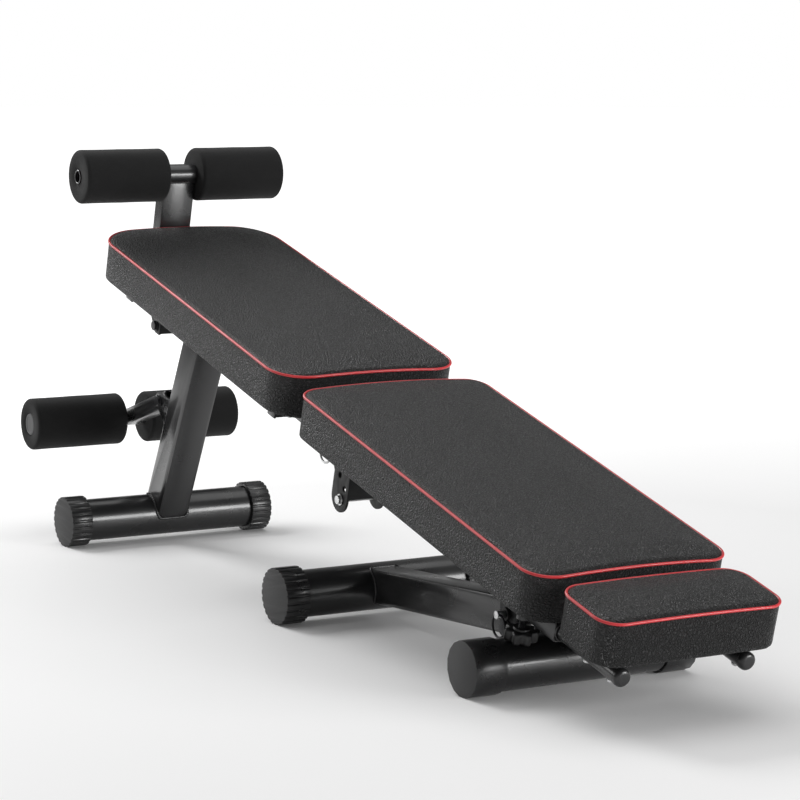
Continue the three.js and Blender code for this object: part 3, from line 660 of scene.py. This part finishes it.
def make_welds():
    lean, rise = math.radians(REAR_POST["lean"]), math.radians(LEG["rise"])
    weld_post((math.sin(lean), math.cos(lean)), (math.cos(lean), -math.sin(lean)))
    weld_leg((math.cos(rise), math.sin(rise)), (-math.sin(rise), math.cos(rise)))
    weld_front_foot()
    weld_brackets()


# ---- Fasteners ----

HEX = {"sides": 48, "chamfer": 0.9, "base": 1.3, "top": 5}
WASHER = {"thick": 1.4, "over": 1.2}
THREAD = {"start": 6.0, "last": 8.4, "end": 9}
# Half the width each bolt clamps, and the (s, n) of two of the bolts.
CLEVIS_GRIP, PLATE_GRIP, HINGE_GRIP = 17.1, 28.8, 33.3
POST_BOLT = (9, -139)
INDEX_BOLT = (590, -168)


def hex_rings(flat_half, start, end):
    """Rings of a hexagon head along Y, its outer end (end) chamfered round."""
    sign = 1 if end > start else -1
    base, wall, lip, top = [], [], [], []
    for angle in round_angles(HEX["sides"]):
        turn = (angle + math.pi / 6) % (math.pi / 3) - math.pi / 6
        reach = flat_half / math.cos(turn)
        drop = 0.45 + (reach - flat_half) * 0.58
        for ring, radius, place in (
            (base, reach, start), (wall, reach, end - sign * drop),
            (lip, flat_half - 0.05, end - sign * 0.12), (top, flat_half - HEX["chamfer"], end),
        ):
            ring.append(round_y(radius, angle, place))
    return base, wall, lip, top


def through_bolt(node, centre, grip, matrix, radius=4, head=7.5, black=False):
    """Hexagon bolt along Y: head and washer at -y, washer, lock nut and thread at +y."""
    bm = bmesh.new()
    flat_half = head * math.cos(math.pi / 6)
    for side in (-1, 1):
        skin(bm, hex_rings(flat_half, side * (grip + HEX["base"]), side * (grip + HEX["top"])))
    collar = bow(1.4, flat_half - 2.2, grip + 4.9, 0, 90, 3)
    lathe([(0, grip + 4.6), *collar, (0, grip + 6.3)], 32, bm)
    for side in (-1, 1):
        ends = sorted((side * grip, side * (grip + WASHER["thick"])))
        lathe(pipe_profile(head + WASHER["over"], radius, *ends, bevel=0.25), 40, bm)
    shank = radius - 0.1
    lathe([(0, -grip - 2), (shank, -grip - 2), (shank, grip + 2), (0, grip + 2)], 24, bm)
    start, last, end = (grip + THREAD[key] for key in ("start", "last", "end"))
    ridges = thread_ridges(radius, 0.45, start, last, 0.7)
    lathe([(0, grip + 1), (radius - 0.3, start), *ridges, (radius - 0.9, end), (0, end)], 24, bm)
    bm.transform(Matrix.Translation(centre))
    look, slot = (BLACK_ZINC, "black_paint") if black else (ZINC, "zinc")
    finish_piece(f"{node}_hex", bm, look, "root", matrix, (node,), sharp=30)


def screw_heads(name, places, body, length=3.2, radius=5.2):
    """Button-head screws along the plane's normal, heads towards the floor."""
    bm = bmesh.new()
    profile = [
        (0, -length), (2.1, -length), (radius - 1.6, 0.25 - length), (radius - 0.5, 1.1 - length),
        (radius, -0.5), (radius, 0), (0, 0),
    ]
    for place in places:
        lathe(profile, 28, bm, "Z", place)
    finish_piece(name, bm, ZINC, body, PLANE, sharp=34)


def bench_point(joint):
    return BENCH.inverted() @ Vector(JOINTS[joint]["pos_m"])


def make_bolts():
    arm = bench_point("lower_arm_swing")
    through_bolt("arm_pivot_bolt", (arm.x, 0, arm.z), CLEVIS_GRIP, BENCH, black=True)
    leg = bench_point("leg_swing")
    through_bolt("leg_pivot_bolt", (leg.x, 0, leg.z), PLATE_GRIP, BENCH, 5, 10, black=True)
    post, index, hinge = ((s, 0, n) for s, n in (POST_BOLT, INDEX_BOLT, BACK_PIVOT))
    through_bolt("post_bracket_bolt", post, PLATE_GRIP, PLANE, black=True)
    through_bolt("index_bracket_bolt", index, PLATE_GRIP, PLANE, head=6.4)
    through_bolt("back_hinge_bolt", hinge, HINGE_GRIP, PLANE, 5, 9)


# ---- Rollers and axles ----


def roller_profile(roller, bore, counterbore):
    """Foam sleeve with well rounded ends and two faint dips along its length."""
    radius, start, end, r = (roller[k] for k in ("radius", "start", "end", "round"))
    profile = [(bore, start), *bow(r, radius - r, start + r, -90, 0, 8)]
    for i in range(1, 6):
        share = i / 6
        dip = 0.25 * math.sin(2 * math.pi * share) ** 2
        profile.append((radius - dip, start + r + (end - start - 2 * r) * share))
    profile += bow(r, radius - r, end - r, 0, 90, 8)
    if counterbore:
        floor = end - PLUG["thick"] - 0.4
        profile += [(counterbore + 1.0, end), (counterbore, end - 1), (counterbore, floor), (bore, floor)]
    else:
        profile += [(bore + 1.2, end), (bore, end - 1.2)]
    return profile


def make_rollers(pair, roller, matrix, centre, counterbore=0):
    for side, sign in (("left", -1), ("right", 1)):
        profile = roller_profile(roller, ROLLER_BORE, counterbore)
        if sign < 0:
            profile = [(r, -p) for r, p in profile]
        bm = lathe(profile, 96, centre=centre)
        node = f"{pair}_roller_{side}"
        piece = finish_piece(f"{node}_foam", bm, FOAM, node, matrix, (node,), sharp=60)


def make_axle_plugs(centre, start):
    """The domed discs in the ends of the lower axle."""
    end = start + PLUG["thick"]
    profile = [
        (0, start - 14), (7.6, start - 14), (7.7, start), (15.4, start), (PLUG["radius"], start + 0.6),
        *bow(1.4, 14.6, end - 1.4, 0, 90, 4), (12.0, end), (11.4, end - 0.5), (0, end - 0.6),
    ]
    for side, sign in (("left", -1), ("right", 1)):
        bm = lathe([(r, sign * p) for r, p in profile], 64, centre=centre)
        node = f"lower_axle_plug_{side}"
        finish_piece(f"{node}_disc", bm, PLUG_GREY, "lower_arm", BENCH, (node,))


def make_axles():
    upper = ("upper_post", PLANE, (UPPER_AXLE["s"], 0, UPPER_AXLE["n"]))
    lower = ("lower_arm", BENCH, (LOWER_AXLE["x"], 0, LOWER_AXLE["z"]))
    tube = (AXLE["radius"], AXLE["bore"])
    sleeve = (UPPER_AXLE["sleeve"], AXLE["radius"] + GAP)
    for name, node, place, walls, half in (
        ("upper_axle_tube", "upper_axle", upper, tube, UPPER_AXLE["half"]),
        ("upper_axle_spacer", "upper_axle_sleeve", upper, sleeve, UPPER_ROLLER["start"] - 0.5),
        ("lower_axle_tube", "lower_axle", lower, tube, LOWER_AXLE["half"]),
    ):
        body, matrix, centre = place
        bm = lathe(pipe_profile(*walls, -half, half), 64, centre=centre)
        finish_piece(name, bm, PAINT, body, matrix, (node,))
    make_axle_plugs(lower[2], LOWER_AXLE["half"] + GAP)


# ---- Knobs, pins and rings ----


# How far each ring of a star knob lies in from its rim, and its place from a face.
STAR_FACE = ((9.5, -0.2), (6.0, 0), (2.6, 0.2), (1.1, 0.9), (0.25, 2.2), (0, 3.8))
STAR_BACK = ((0, -3.2), (0.3, -1.6), (1.2, -0.5), (2.8, 0), (8.5, 0))


def star_ring(inset, place):
    hollow, lobes = STAR["hollow"], STAR["lobes"]
    ring = []
    for angle in round_angles(lobes * 16):
        reach = STAR["radius"] - hollow + hollow * math.cos(lobes * angle) - inset
        ring.append(round_y(reach, angle, place))
    return ring


def star_knob(name, matrix, body, node, stud, stud_length):
    """A seven-lobe knob along Y, its stud towards +y with the tip at 0."""
    bm = bmesh.new()
    face, back = -stud_length - STAR["thick"], -stud_length
    levels = [(inset, face + place) for inset, place in STAR_FACE]
    levels += [(inset, back + place) for inset, place in STAR_BACK]
    skin(bm, [star_ring(*level) for level in levels])
    collar = [(0, face + 4), (10, face + 4), (10, back + 0.6), (9.2, back + 2), (0, back + 2)]
    lathe(collar, 40, bm)
    knob_faces = len(bm.faces)
    ridges = thread_ridges(stud - 0.02, 0.38, back, -1.6, 0.8)
    lathe([(0, back - 1), (stud - 0.3, back - 1), *ridges, (stud - 1.0, 0), (0, 0)], 28, bm)
    screw = [(0, -0.9), (4.6, -0.9), (5.2, -0.3), (5.2, 2), (0, 2)]
    lathe([(r, face + p) for r, p in screw], 32, bm)
    bm.faces.ensure_lookup_table()
    for surface in bm.faces[knob_faces:]:
        surface.material_index = 1
    finish_piece(name, bm, [KNOB, BLACK_ZINC], body, matrix, (node,), sharp=42)


def make_knobs():
    tip = Vector((HEAD_KNOB["s"], -RAIL["y"], RAIL["n"] - ROD["radius"] - 0.4))
    upright = Matrix.Rotation(math.pi / 2, 4, "X")
    length = tip.z - HEAD_KNOB["n"]
    place = PLANE @ Matrix.Translation(tip) @ upright
    star_knob("head_star_knob", place, "head_knob", "head_knob", HEAD_KNOB["stud"], length)
    post_back = UPPER_AXLE["s"] - UPPER_POST["offset"] - UPPER_POST["half_depth"]
    tip = Vector((post_back - GAP, 0, POST_KNOB["n"]))
    place = PLANE @ Matrix.Translation(tip) @ Matrix.Rotation(-math.pi / 2, 4, "Z")
    star_knob("post_star_knob", place, "post_knob", "post_knob", POST_KNOB["stud"], POST_KNOB["length"])
    nut_top = RAIL["n"] - RAIL["half"] - GAP
    profile = pipe_profile(8, 4.4, nut_top - 9, nut_top)
    bm = lathe(profile, 40, about="Z", centre=(HEAD_KNOB["s"], -RAIL["y"], 0))
    finish_piece("knob_nut_boss", bm, PAINT, "back_rest", PLANE, ("knob_nut",))


def make_pull_ring(node, look):
    eye = Vector(JOINTS[f"{node}_swing"]["pos_m"])
    radius, wire = RING["radius"] * MM, RING["wire"] * MM
    centre = eye - Vector((0, 0, radius))
    points = [centre + radius * Vector((math.sin(a), 0, math.cos(a))) for a in round_angles(72)]
    bm = sweep(points, lambda i: wire, 14, up=ACROSS)
    finish_piece(f"{node}_wire", bm, look, node, None, (node,), sharp=60)


def make_pins():
    refined("back_pin", ZINC, 0.5)
    refined("leg_pin", ZINC, 0.5)
    make_pull_ring("back_ring", ZINC)
    make_pull_ring("leg_ring", BLACK_ZINC)
    bm = lathe(pipe_profile(8, 5.4, -25, 25, 0.4), 48, centre=tuple(bench_point("leg_swing")))
    finish_piece("leg_pivot_sleeve", bm, PAINT, "leg", BENCH, ("leg_sleeve",))


# ---- Head rest rods ----


def make_rods():
    for side, sign in (("left", -1), ("right", 1)):
        y = sign * RAIL["y"]
        node = f"head_rod_{side}"
        profile = pipe_profile(ROD["radius"], ROD["radius"] - ROD["wall"], ROD["start"], ROD["end"], 0.4)
        bm = lathe(profile, 48, about="X", centre=(0, y, RAIL["n"]))
        for s in ROD_BLOCKS:
            top = -PADS["head"]["depth"] - GAP
            block(bm, (s - 9, y - 6, RAIL["n"] + 9), (s + 9, y + 6, top), 0.8)
        finish_piece(f"{node}_bar", bm, PAINT, "head_rest", PLANE, (node,))
        end = ROD["end"]
        stub = ROD["radius"] - ROD["wall"] - GAP
        rim, tip = ROD["cap_radius"], end + ROD["cap_length"]
        dome = [*bow(5, rim - 5, tip - 5, 0, 90, 7), (0, tip)]
        cap = [(0, end - 12), (stub, end - 12), (stub, end + GAP), (rim - 0.4, end + GAP)]
        cap += [(rim, end + 0.8), *dome]
        bm = lathe(cap, 48, about="X", centre=(0, y, RAIL["n"]))
        node = f"head_rod_cap_{side}"
        finish_piece(f"{node}_dome", bm, CAP, "head_rest", PLANE, (node,))
    heads = [(s, sign * RAIL["y"], RAIL["n"] - ROD["radius"] + 0.2) for s in ROD_BLOCKS for sign in (-1, 1)]
    screw_heads("head_rod_screws", heads, "head_rest", 3.4, 5.0)


# ---- Pads ----


PAD_STEPS = {"corner_steps": 14, "edge_steps": 26}
SMALLEST_CORNER = 8
# Inset, height and share of the arch of each level: the first ones are measured
# up from the underside, the others from the piping line over the crown.
WALL_LEVELS = (
    (16, -0.5, 0), (5, -0.5, 0), (1.6, -0.3, 0), (0.0, 0.6, 0),
    (-0.2, 3.0, 0), (0.4, 9, 0), (0.5, 20, 0.3),
)
TOP_LEVELS = (
    (0.5, -14, 0.7), (0.5, -6, 0.9), (0.5, -1.5, 1), (1.2, 0.0, 1), (3.5, 1.2, 1),
    (7, 2.9, 1), (12, 4.6, 0.98), (19, 5.9, 0.95), (29, 7.0, 0.9), (44, 8.0, 0.8),
)
VOXEL = {"full": 0.005, "quick": 0.008}
SMOOTHING = {"factor": 0.5, "use_axis_x": True, "use_axis_y": True, "use_axis_z": True}
# The cover can't swell this near the seam and the underside.
SEWN = {"height": 4, "inset": 12, "under": 4}
SWELL = {"frames": 20, "cap_top": 3.2, "cap_side": 1.0}
CLOTH = {
    "quality": 5, "mass": 0.3, "tension_stiffness": 18, "compression_stiffness": 18,
    "shear_stiffness": 6, "bending_stiffness": 2.0, "use_pressure": True,
    "uniform_pressure_force": 4.0, "vertex_group_mass": "sewn",
}
# The cover's inset at the board, on the sides and, growing by slope, over the seam.
FIRM = {"board": 1.2, "side": 0.5, "crown": 0.9, "slope": 1.7, "above": 0.5, "reach": 7}
DUST_LEVELS = ((11, 0.8), (10.4, 0.5), (10.2, 0.2), (11, 0.05))
STAPLE = {"inset": 14, "first": 20.0, "spacing": 42.0, "half": 5, "shoulder": 4.4, "drop": 0.22, "wire": 0.35}
RAIL_REACH = 20


def pad_middle(pad):
    return (pad["start"] + pad["end"]) / 2


def pad_halves(pad):
    return (pad["end"] - pad["start"]) / 2, pad["width"] / 2


def arch_height(pad, y, share=1):
    """How far the end arch lifts the cover at y; share is how much of it counts."""
    across = 2 * y / pad["width"]
    return share * pad["arch"] * (1 - across * across)


def pad_outline(pad, inset):
    half_s, half_y = (half - inset for half in pad_halves(pad))
    front, rear = (max(pad[key] - inset, SMALLEST_CORNER) for key in ("corner", "rear_corner"))
    outline = rounded_outline(half_s, half_y, front, rear, **PAD_STEPS)
    return [(pad_middle(pad) + a, b) for a, b in outline]


def pad_ring(pad, inset, height, arched):
    """One level of the pad. arched is how much of the end arch it takes."""
    spots = pad_outline(pad, inset)
    return [Vector((s, y, height + arch_height(pad, y, arched))) for s, y in spots]


def pad_body(pad):
    walls = [(inset, height - pad["depth"], arched) for inset, height, arched in WALL_LEVELS]
    bm = bmesh.new()
    skin(bm, [pad_ring(pad, *level) for level in (*walls, *TOP_LEVELS)])
    return bm


def is_sewn(pad, point):
    """True on the seam line and under the pad, where the cover can't swell."""
    half_s, half_y = pad_halves(pad)
    from_edge = min(half_s - abs(point.x - pad_middle(pad)), half_y - abs(point.y))
    near_seam = abs(point.z - arch_height(pad, point.y)) < SEWN["height"]
    under = point.z < SEWN["under"] - pad["depth"]
    return under or (near_seam and from_edge < SEWN["inset"])


def add_cloth(piece, pad):
    """The cloth modifier, with the cover pinned where it is sewn."""
    pins = piece.vertex_groups.new(name="sewn")
    sewn = [vertex.index for vertex in piece.data.vertices if is_sewn(pad, vertex.co / MM)]
    pins.add(sewn, 1.0, "REPLACE")
    cloth = piece.modifiers.new("swell", "CLOTH")
    for key, value in CLOTH.items():
        setattr(cloth.settings, key, value)
    cloth.settings.effector_weights.gravity = 0
    cloth.collision_settings.use_collision = False
    return cloth


def swell(piece, pad):
    """Cloth simulation: the cover swells between its seams, and is capped."""
    scene = bpy.context.scene
    before = [vertex.co.copy() for vertex in piece.data.vertices]
    cloth = add_cloth(piece, pad)
    scene.frame_start = 1
    scene.frame_end = SWELL["frames"]
    for step in range(1, SWELL["frames"] + 1):
        scene.frame_set(step)
    evaluated = piece.evaluated_get(bpy.context.evaluated_depsgraph_get())
    after = [vertex.co.copy() for vertex in evaluated.data.vertices]
    piece.modifiers.remove(cloth)
    for vertex, start, end in zip(piece.data.vertices, before, after):
        moved = end - start
        limit = SWELL["cap_top" if start.z > 0 else "cap_side"] * MM
        if moved.length > limit:
            moved *= limit / moved.length
        vertex.co = start + moved
    scene.frame_set(1)


def remesh(piece, voxel):
    piece.data.remesh_voxel_size = voxel
    bpy.context.view_layer.objects.active = piece
    for other in bpy.context.selected_objects:
        other.select_set(False)
    piece.select_set(True)
    bpy.ops.object.voxel_remesh()


def relax(piece, rounds):
    """Evens out the remeshed surface."""
    bm = bmesh.new()
    bm.from_mesh(piece.data)
    for _ in range(rounds):
        bmesh.ops.smooth_vert(bm, verts=bm.verts, **SMOOTHING)
    bm.to_mesh(piece.data)
    bm.free()


def inside_by(pad, x, y):
    """How far a point lies inside the pad's outline, and which way is outward."""
    a, b = x - pad_middle(pad), y
    half_s, half_y = pad_halves(pad)
    radius = pad["corner"] if a > 0 else pad["rear_corner"]
    over_a = abs(a) - half_s + radius
    over_b = abs(b) - half_y + radius
    if over_a > 0 and over_b > 0:
        outward = Vector((over_a, over_b, 0))
        depth = radius - outward.length
    elif over_a > over_b:
        outward, depth = Vector((1, 0, 0)), radius - over_a
    else:
        outward, depth = Vector((0, 1, 0)), radius - over_b
    outward.normalize()
    return depth, Vector((math.copysign(outward.x, a), math.copysign(outward.y, b), 0))


def firm_inset(pad, y, z):
    """The inset wanted at a point of the cover, or None on the underside."""
    above = z - arch_height(pad, y)
    if z < 0.8 - pad["depth"]:
        return None
    if above >= FIRM["above"]:
        return FIRM["crown"] + FIRM["slope"] * (above - FIRM["above"])
    return FIRM["side"] if z > 3 - pad["depth"] else FIRM["board"]


def firm_edges(piece, pad):
    """Brings the cover back out to its seam and to the board after smoothing."""
    for vertex in piece.data.vertices:
        x, y, z = vertex.co / MM
        depth, outward = inside_by(pad, x, y)
        wanted = firm_inset(pad, y, z)
        if wanted is not None and wanted < depth < wanted + FIRM["reach"]:
            vertex.co += outward * (depth - wanted) * MM


def make_cushion(name, pad):
    """The padded cover: simulated in the plane's frame, then laid in place."""
    bm = pad_body(pad)
    bm.transform(Matrix.Scale(MM, 4))
    bmesh.ops.recalc_face_normals(bm, faces=bm.faces)
    piece = object_from(f"{name}_cushion", bm)
    remesh(piece, VOXEL["full"])
    relax(piece, 1)
    swell(piece, pad)
    relax(piece, 2)
    firm_edges(piece, pad)
    piece.data.transform(PLANE @ Matrix.Scale(1 / MM, 4))
    for polygon in piece.data.polygons:
        polygon.use_smooth = True
    piece.data.materials.append(LEATHERETTE)
    smooth = piece.modifiers.new("subdivision", "SUBSURF")
    smooth.levels = 1
    smooth.render_levels = 1
    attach(piece, PAD_BODY[name])
    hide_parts(f"{name}_pad")


def sew_piping(name, pad):
    """The red piping that edges the top panel."""
    points = pad_ring(pad, 0.7, 0.5, 1)
    bm = sweep(points, lambda i: PIPING_RADIUS, 14)
    finish_piece(f"{name}_piping", bm, PIPING, PAD_BODY[name], PLANE, sharp=80)


def lay_dust_cloth(name, pad):
    """The dust cloth that hides the board."""
    bm = bmesh.new()
    rings = []
    for inset, height in DUST_LEVELS:
        rings.append([Vector((s, y, height - pad["depth"])) for s, y in pad_outline(pad, inset)])
    skin(bm, rings)
    cloth, board = f"{name}_dust_cloth", f"{name}_board"
    finish_piece(cloth, bm, DUST_CLOTH, PAD_BODY[name], PLANE, (board,))


def staple(bm, spot, along):
    drop = Vector((0, 0, -STAPLE["drop"]))
    half, shoulder = along * STAPLE["half"], along * STAPLE["shoulder"]
    points = [spot - half, spot - shoulder + drop, spot + shoulder + drop, spot + half]
    sweep(points, lambda i: STAPLE["wire"], 6, False, bm=bm)


def drive_staples(name, pad):
    """Staples round the dust cloth, but none where the rails and rods pass."""
    line = [Vector((s, y, -pad["depth"])) for s, y in pad_outline(pad, STAPLE["inset"])]
    bm = bmesh.new()
    travelled, due = 0.0, STAPLE["first"]
    for i, point in enumerate(line):
        after = line[(i + 1) % len(line)]
        length = (after - point).length
        while due < travelled + length:
            spot = point.lerp(after, (due - travelled) / length)
            under_frame = abs(abs(spot.y) - RAIL["y"]) < RAIL_REACH and name != "seat"
            if not under_frame:
                staple(bm, spot, (after - point).normalized())
            due += STAPLE["spacing"]
        travelled += length
    finish_piece(f"{name}_staples", bm, ZINC, PAD_BODY[name], PLANE)


def make_pads():
    for name, pad in PADS.items():
        make_cushion(name, pad)
        sew_piping(name, pad)
        lay_dust_cloth(name, pad)
        drive_staples(name, pad)


# ---- Screws and plugs of the pads' frame ----

SEAT_SCREW_Y = 78
BACK_SCREWS = (735, 910, 1060, 1150)
# Half the size of each plug across its tube, and how far it stands out.
SEAT_PLUG = {"half": (9.9, 10.4), "thick": 2.4}
RAIL_PLUG = {"half": (12.4, 12.4), "thick": 1.2}
PLUG_SUNK = 0.6


def make_screws():
    """Screws that hold the boards to their bars and rails, seen from below."""
    bottom = -PADS["seat"]["depth"] - GAP - SEAT_BAR["height"] + 0.1
    seat = [(s, sign * SEAT_SCREW_Y, bottom) for s in SEAT_BAR["at"] for sign in (-1, 1)]
    screw_heads("seat_screws", seat, "root")
    low = RAIL["n"] - RAIL["half"] + 0.1
    back = [(s, sign * RAIL["y"], low) for s in BACK_SCREWS for sign in (-1, 1)]
    screw_heads("back_screws", back, "back_rest", 3.0, 4.8)


def end_plug(bm, centre, axis, outward, half, thick):
    """A thin plug that closes a tube's end. axis is the tube's: 0 for x, 1 for y."""
    reach = (half[0], half[0], half[1])
    low = [c - r for c, r in zip(centre, reach)]
    high = [c + r for c, r in zip(centre, reach)]
    ends = (centre[axis] - outward * PLUG_SUNK, centre[axis] + outward * thick)
    low[axis], high[axis] = sorted(ends)
    block(bm, low, high, 0.7)


def make_end_plugs():
    n = -PADS["seat"]["depth"] - GAP - SEAT_BAR["height"] / 2
    bars = [(s, sign) for s in SEAT_BAR["at"] for sign in (-1, 1)]
    seat = [((s, sign * SEAT_BAR["half"], n), 1, sign) for s, sign in bars]
    rails = [((RAIL["start"], sign * RAIL["y"], RAIL["n"]), 0, -1) for sign in (-1, 1)]
    for name, body, spots, plug in (
        ("seat_bar_plugs", "root", seat, SEAT_PLUG), ("back_rail_plugs", "back_rest", rails, RAIL_PLUG),
    ):
        bm = bmesh.new()
        for spot in spots:
            end_plug(bm, *spot, **plug)
        finish_piece(name, bm, CAP, body, PLANE)


def make_rail_bushes():
    """The collars in which the head rest's rods slide."""
    end = RAIL["end"]
    bush = [(10.5, -4), (12.3, -3.8), (12.3, 1.4), (11.6, 2), (11.0, 2), (10.5, 1.5)]
    bm = bmesh.new()
    for sign in (-1, 1):
        lathe([(r, end + p) for r, p in bush], 40, bm, "X", (0, sign * RAIL["y"], RAIL["n"]))
    finish_piece("back_rail_bushes", bm, CAP, "back_rest", PLANE)


# ---- Camera, floor and light ----

CAMERA = {"place": (3.1132, -1.7308, 0.7189), "turn": 29.911, "down": 7.188, "roll": 0.106, "lens": 125.889}
FLOOR = {"rings": (1, 2, 4, 9, 30), "sides": 96}
# The floor's glow is painted light, an emission that grows from dim to bright between two distances in
# metres.
GLOW = {"near": 1.0, "far": 4.3, "dim": 0.04, "bright": 1.0}
WORLD = {"as_light": 0.24, "as_seen": 1.0}
# Where each light is, what it aims at, its size in metres and its power in watts.
LIGHTS = {
    "key_above_rear": ((-2.9, -0.7, 2.6), (0, 0, 0.3), (1.4, 1.4), 88),
    "left_side": ((-2.6, -2.3, 1.6), (0, 0, 0.2), (2.2, 1.4), 31),
    "top": ((-0.2, 0.4, 3.0), (0, 0, 0.2), (3.0, 3.0), 40),
    "front_low": ((3.1, 1.5, 0.7), (0.7, 0, 0.25), (1.6, 1.0), 80),
}


def make_camera():
    data = bpy.data.cameras.new("camera")
    data.sensor_width = 36
    data.lens = CAMERA["lens"]
    camera = add_object("camera", data)
    turn, down, roll = (math.radians(CAMERA[k]) for k in ("turn", "down", "roll"))
    forward = Vector((-math.cos(turn) * math.cos(down), math.sin(turn) * math.cos(down), -math.sin(down)))
    right = Vector((math.sin(turn), math.cos(turn), 0))
    up = right.cross(forward)
    tilted = right * math.cos(roll) + up * math.sin(roll)
    up = up * math.cos(roll) - right * math.sin(roll)
    matrix = Matrix((tilted, up, -forward)).transposed().to_4x4()
    matrix.translation = Vector(CAMERA["place"])
    camera.matrix_world = matrix
    bpy.context.scene.camera = camera


def make_floor():
    """A pale floor with painted light: it glows faintly near the bench and brightens into the white backdrop
    away from it.
    """
    look = Look("pale_floor", grey(0.86, 0.86), Roughness=0.5)
    apart = look.node("ShaderNodeVectorMath", {"operation": "LENGTH"}, Vector=look.place).outputs["Value"]
    look.shader.inputs["Emission Color"].default_value = (1, 1, 1, 1)
    # Painted light: the floor glows though it is no lamp, faintly by the bench and fully far off.
    glow = look.ramp(apart, GLOW["dim"], GLOW["bright"], GLOW["near"], GLOW["far"])
    look.feed(look.shader.inputs["Emission Strength"], glow)
    look.colour(look.mix(look.noise(2.5, 3), grey(0.85, 0.85), grey(0.87, 0.87)))
    bm = bmesh.new()
    angles = round_angles(FLOOR["sides"])
    rings = [[(r * math.cos(a), r * math.sin(a), 0) for a in angles] for r in FLOOR["rings"]]
    made = skin(bm, rings, closed_ends=False)
    bm.faces.new(made[0])
    bmesh.ops.recalc_face_normals(bm, faces=bm.faces)
    floor = object_from("floor", bm)
    floor.data.materials.append(look.material)


def soft_light(name, place, aim, size, power):
    data = bpy.data.lights.new(name, "AREA")
    data.shape = "RECTANGLE"
    data.size, data.size_y = size
    data.energy = power
    light = add_object(name, data)
    light.location = place
    light.rotation_mode = "QUATERNION"
    light.rotation_quaternion = (Vector(aim) - Vector(place)).to_track_quat("-Z", "Y")


def make_world():
    world = bpy.data.worlds.new("studio")
    world.use_nodes = True
    bpy.context.scene.world = world
    tree = world.node_tree
    background = tree.nodes["Background"]
    background.inputs["Color"].default_value = (1, 1, 1, 1)
    path = tree.nodes.new("ShaderNodeLightPath")
    level = tree.nodes.new("ShaderNodeMapRange")
    level.inputs["To Min"].default_value = WORLD["as_light"]
    level.inputs["To Max"].default_value = WORLD["as_seen"]
    tree.links.new(path.outputs["Is Camera Ray"], level.inputs["Value"])
    tree.links.new(level.outputs["Result"], background.inputs["Strength"])
    bpy.context.scene.view_settings.view_transform = "Standard"


def make_stage():
    make_camera()
    make_floor()
    make_world()
    for name, light in LIGHTS.items():
        soft_light(name, *light)


# ---- Assembly ----

make_stage()
for foot in ("rear_foot", "mid_foot", "front_foot"):
    make_foot(foot)
make_tubes()
make_welds()
make_bolts()
make_rollers("upper", UPPER_ROLLER, PLANE, (UPPER_AXLE["s"], 0, UPPER_AXLE["n"]))
make_rollers("lower", LOWER_ROLLER, BENCH, (LOWER_AXLE["x"], 0, LOWER_AXLE["z"]), PLUG["radius"] + 0.4)
make_axles()
make_knobs()
make_pins()
make_rods()
make_pads()
make_screws()
make_end_plugs()
make_rail_bushes()
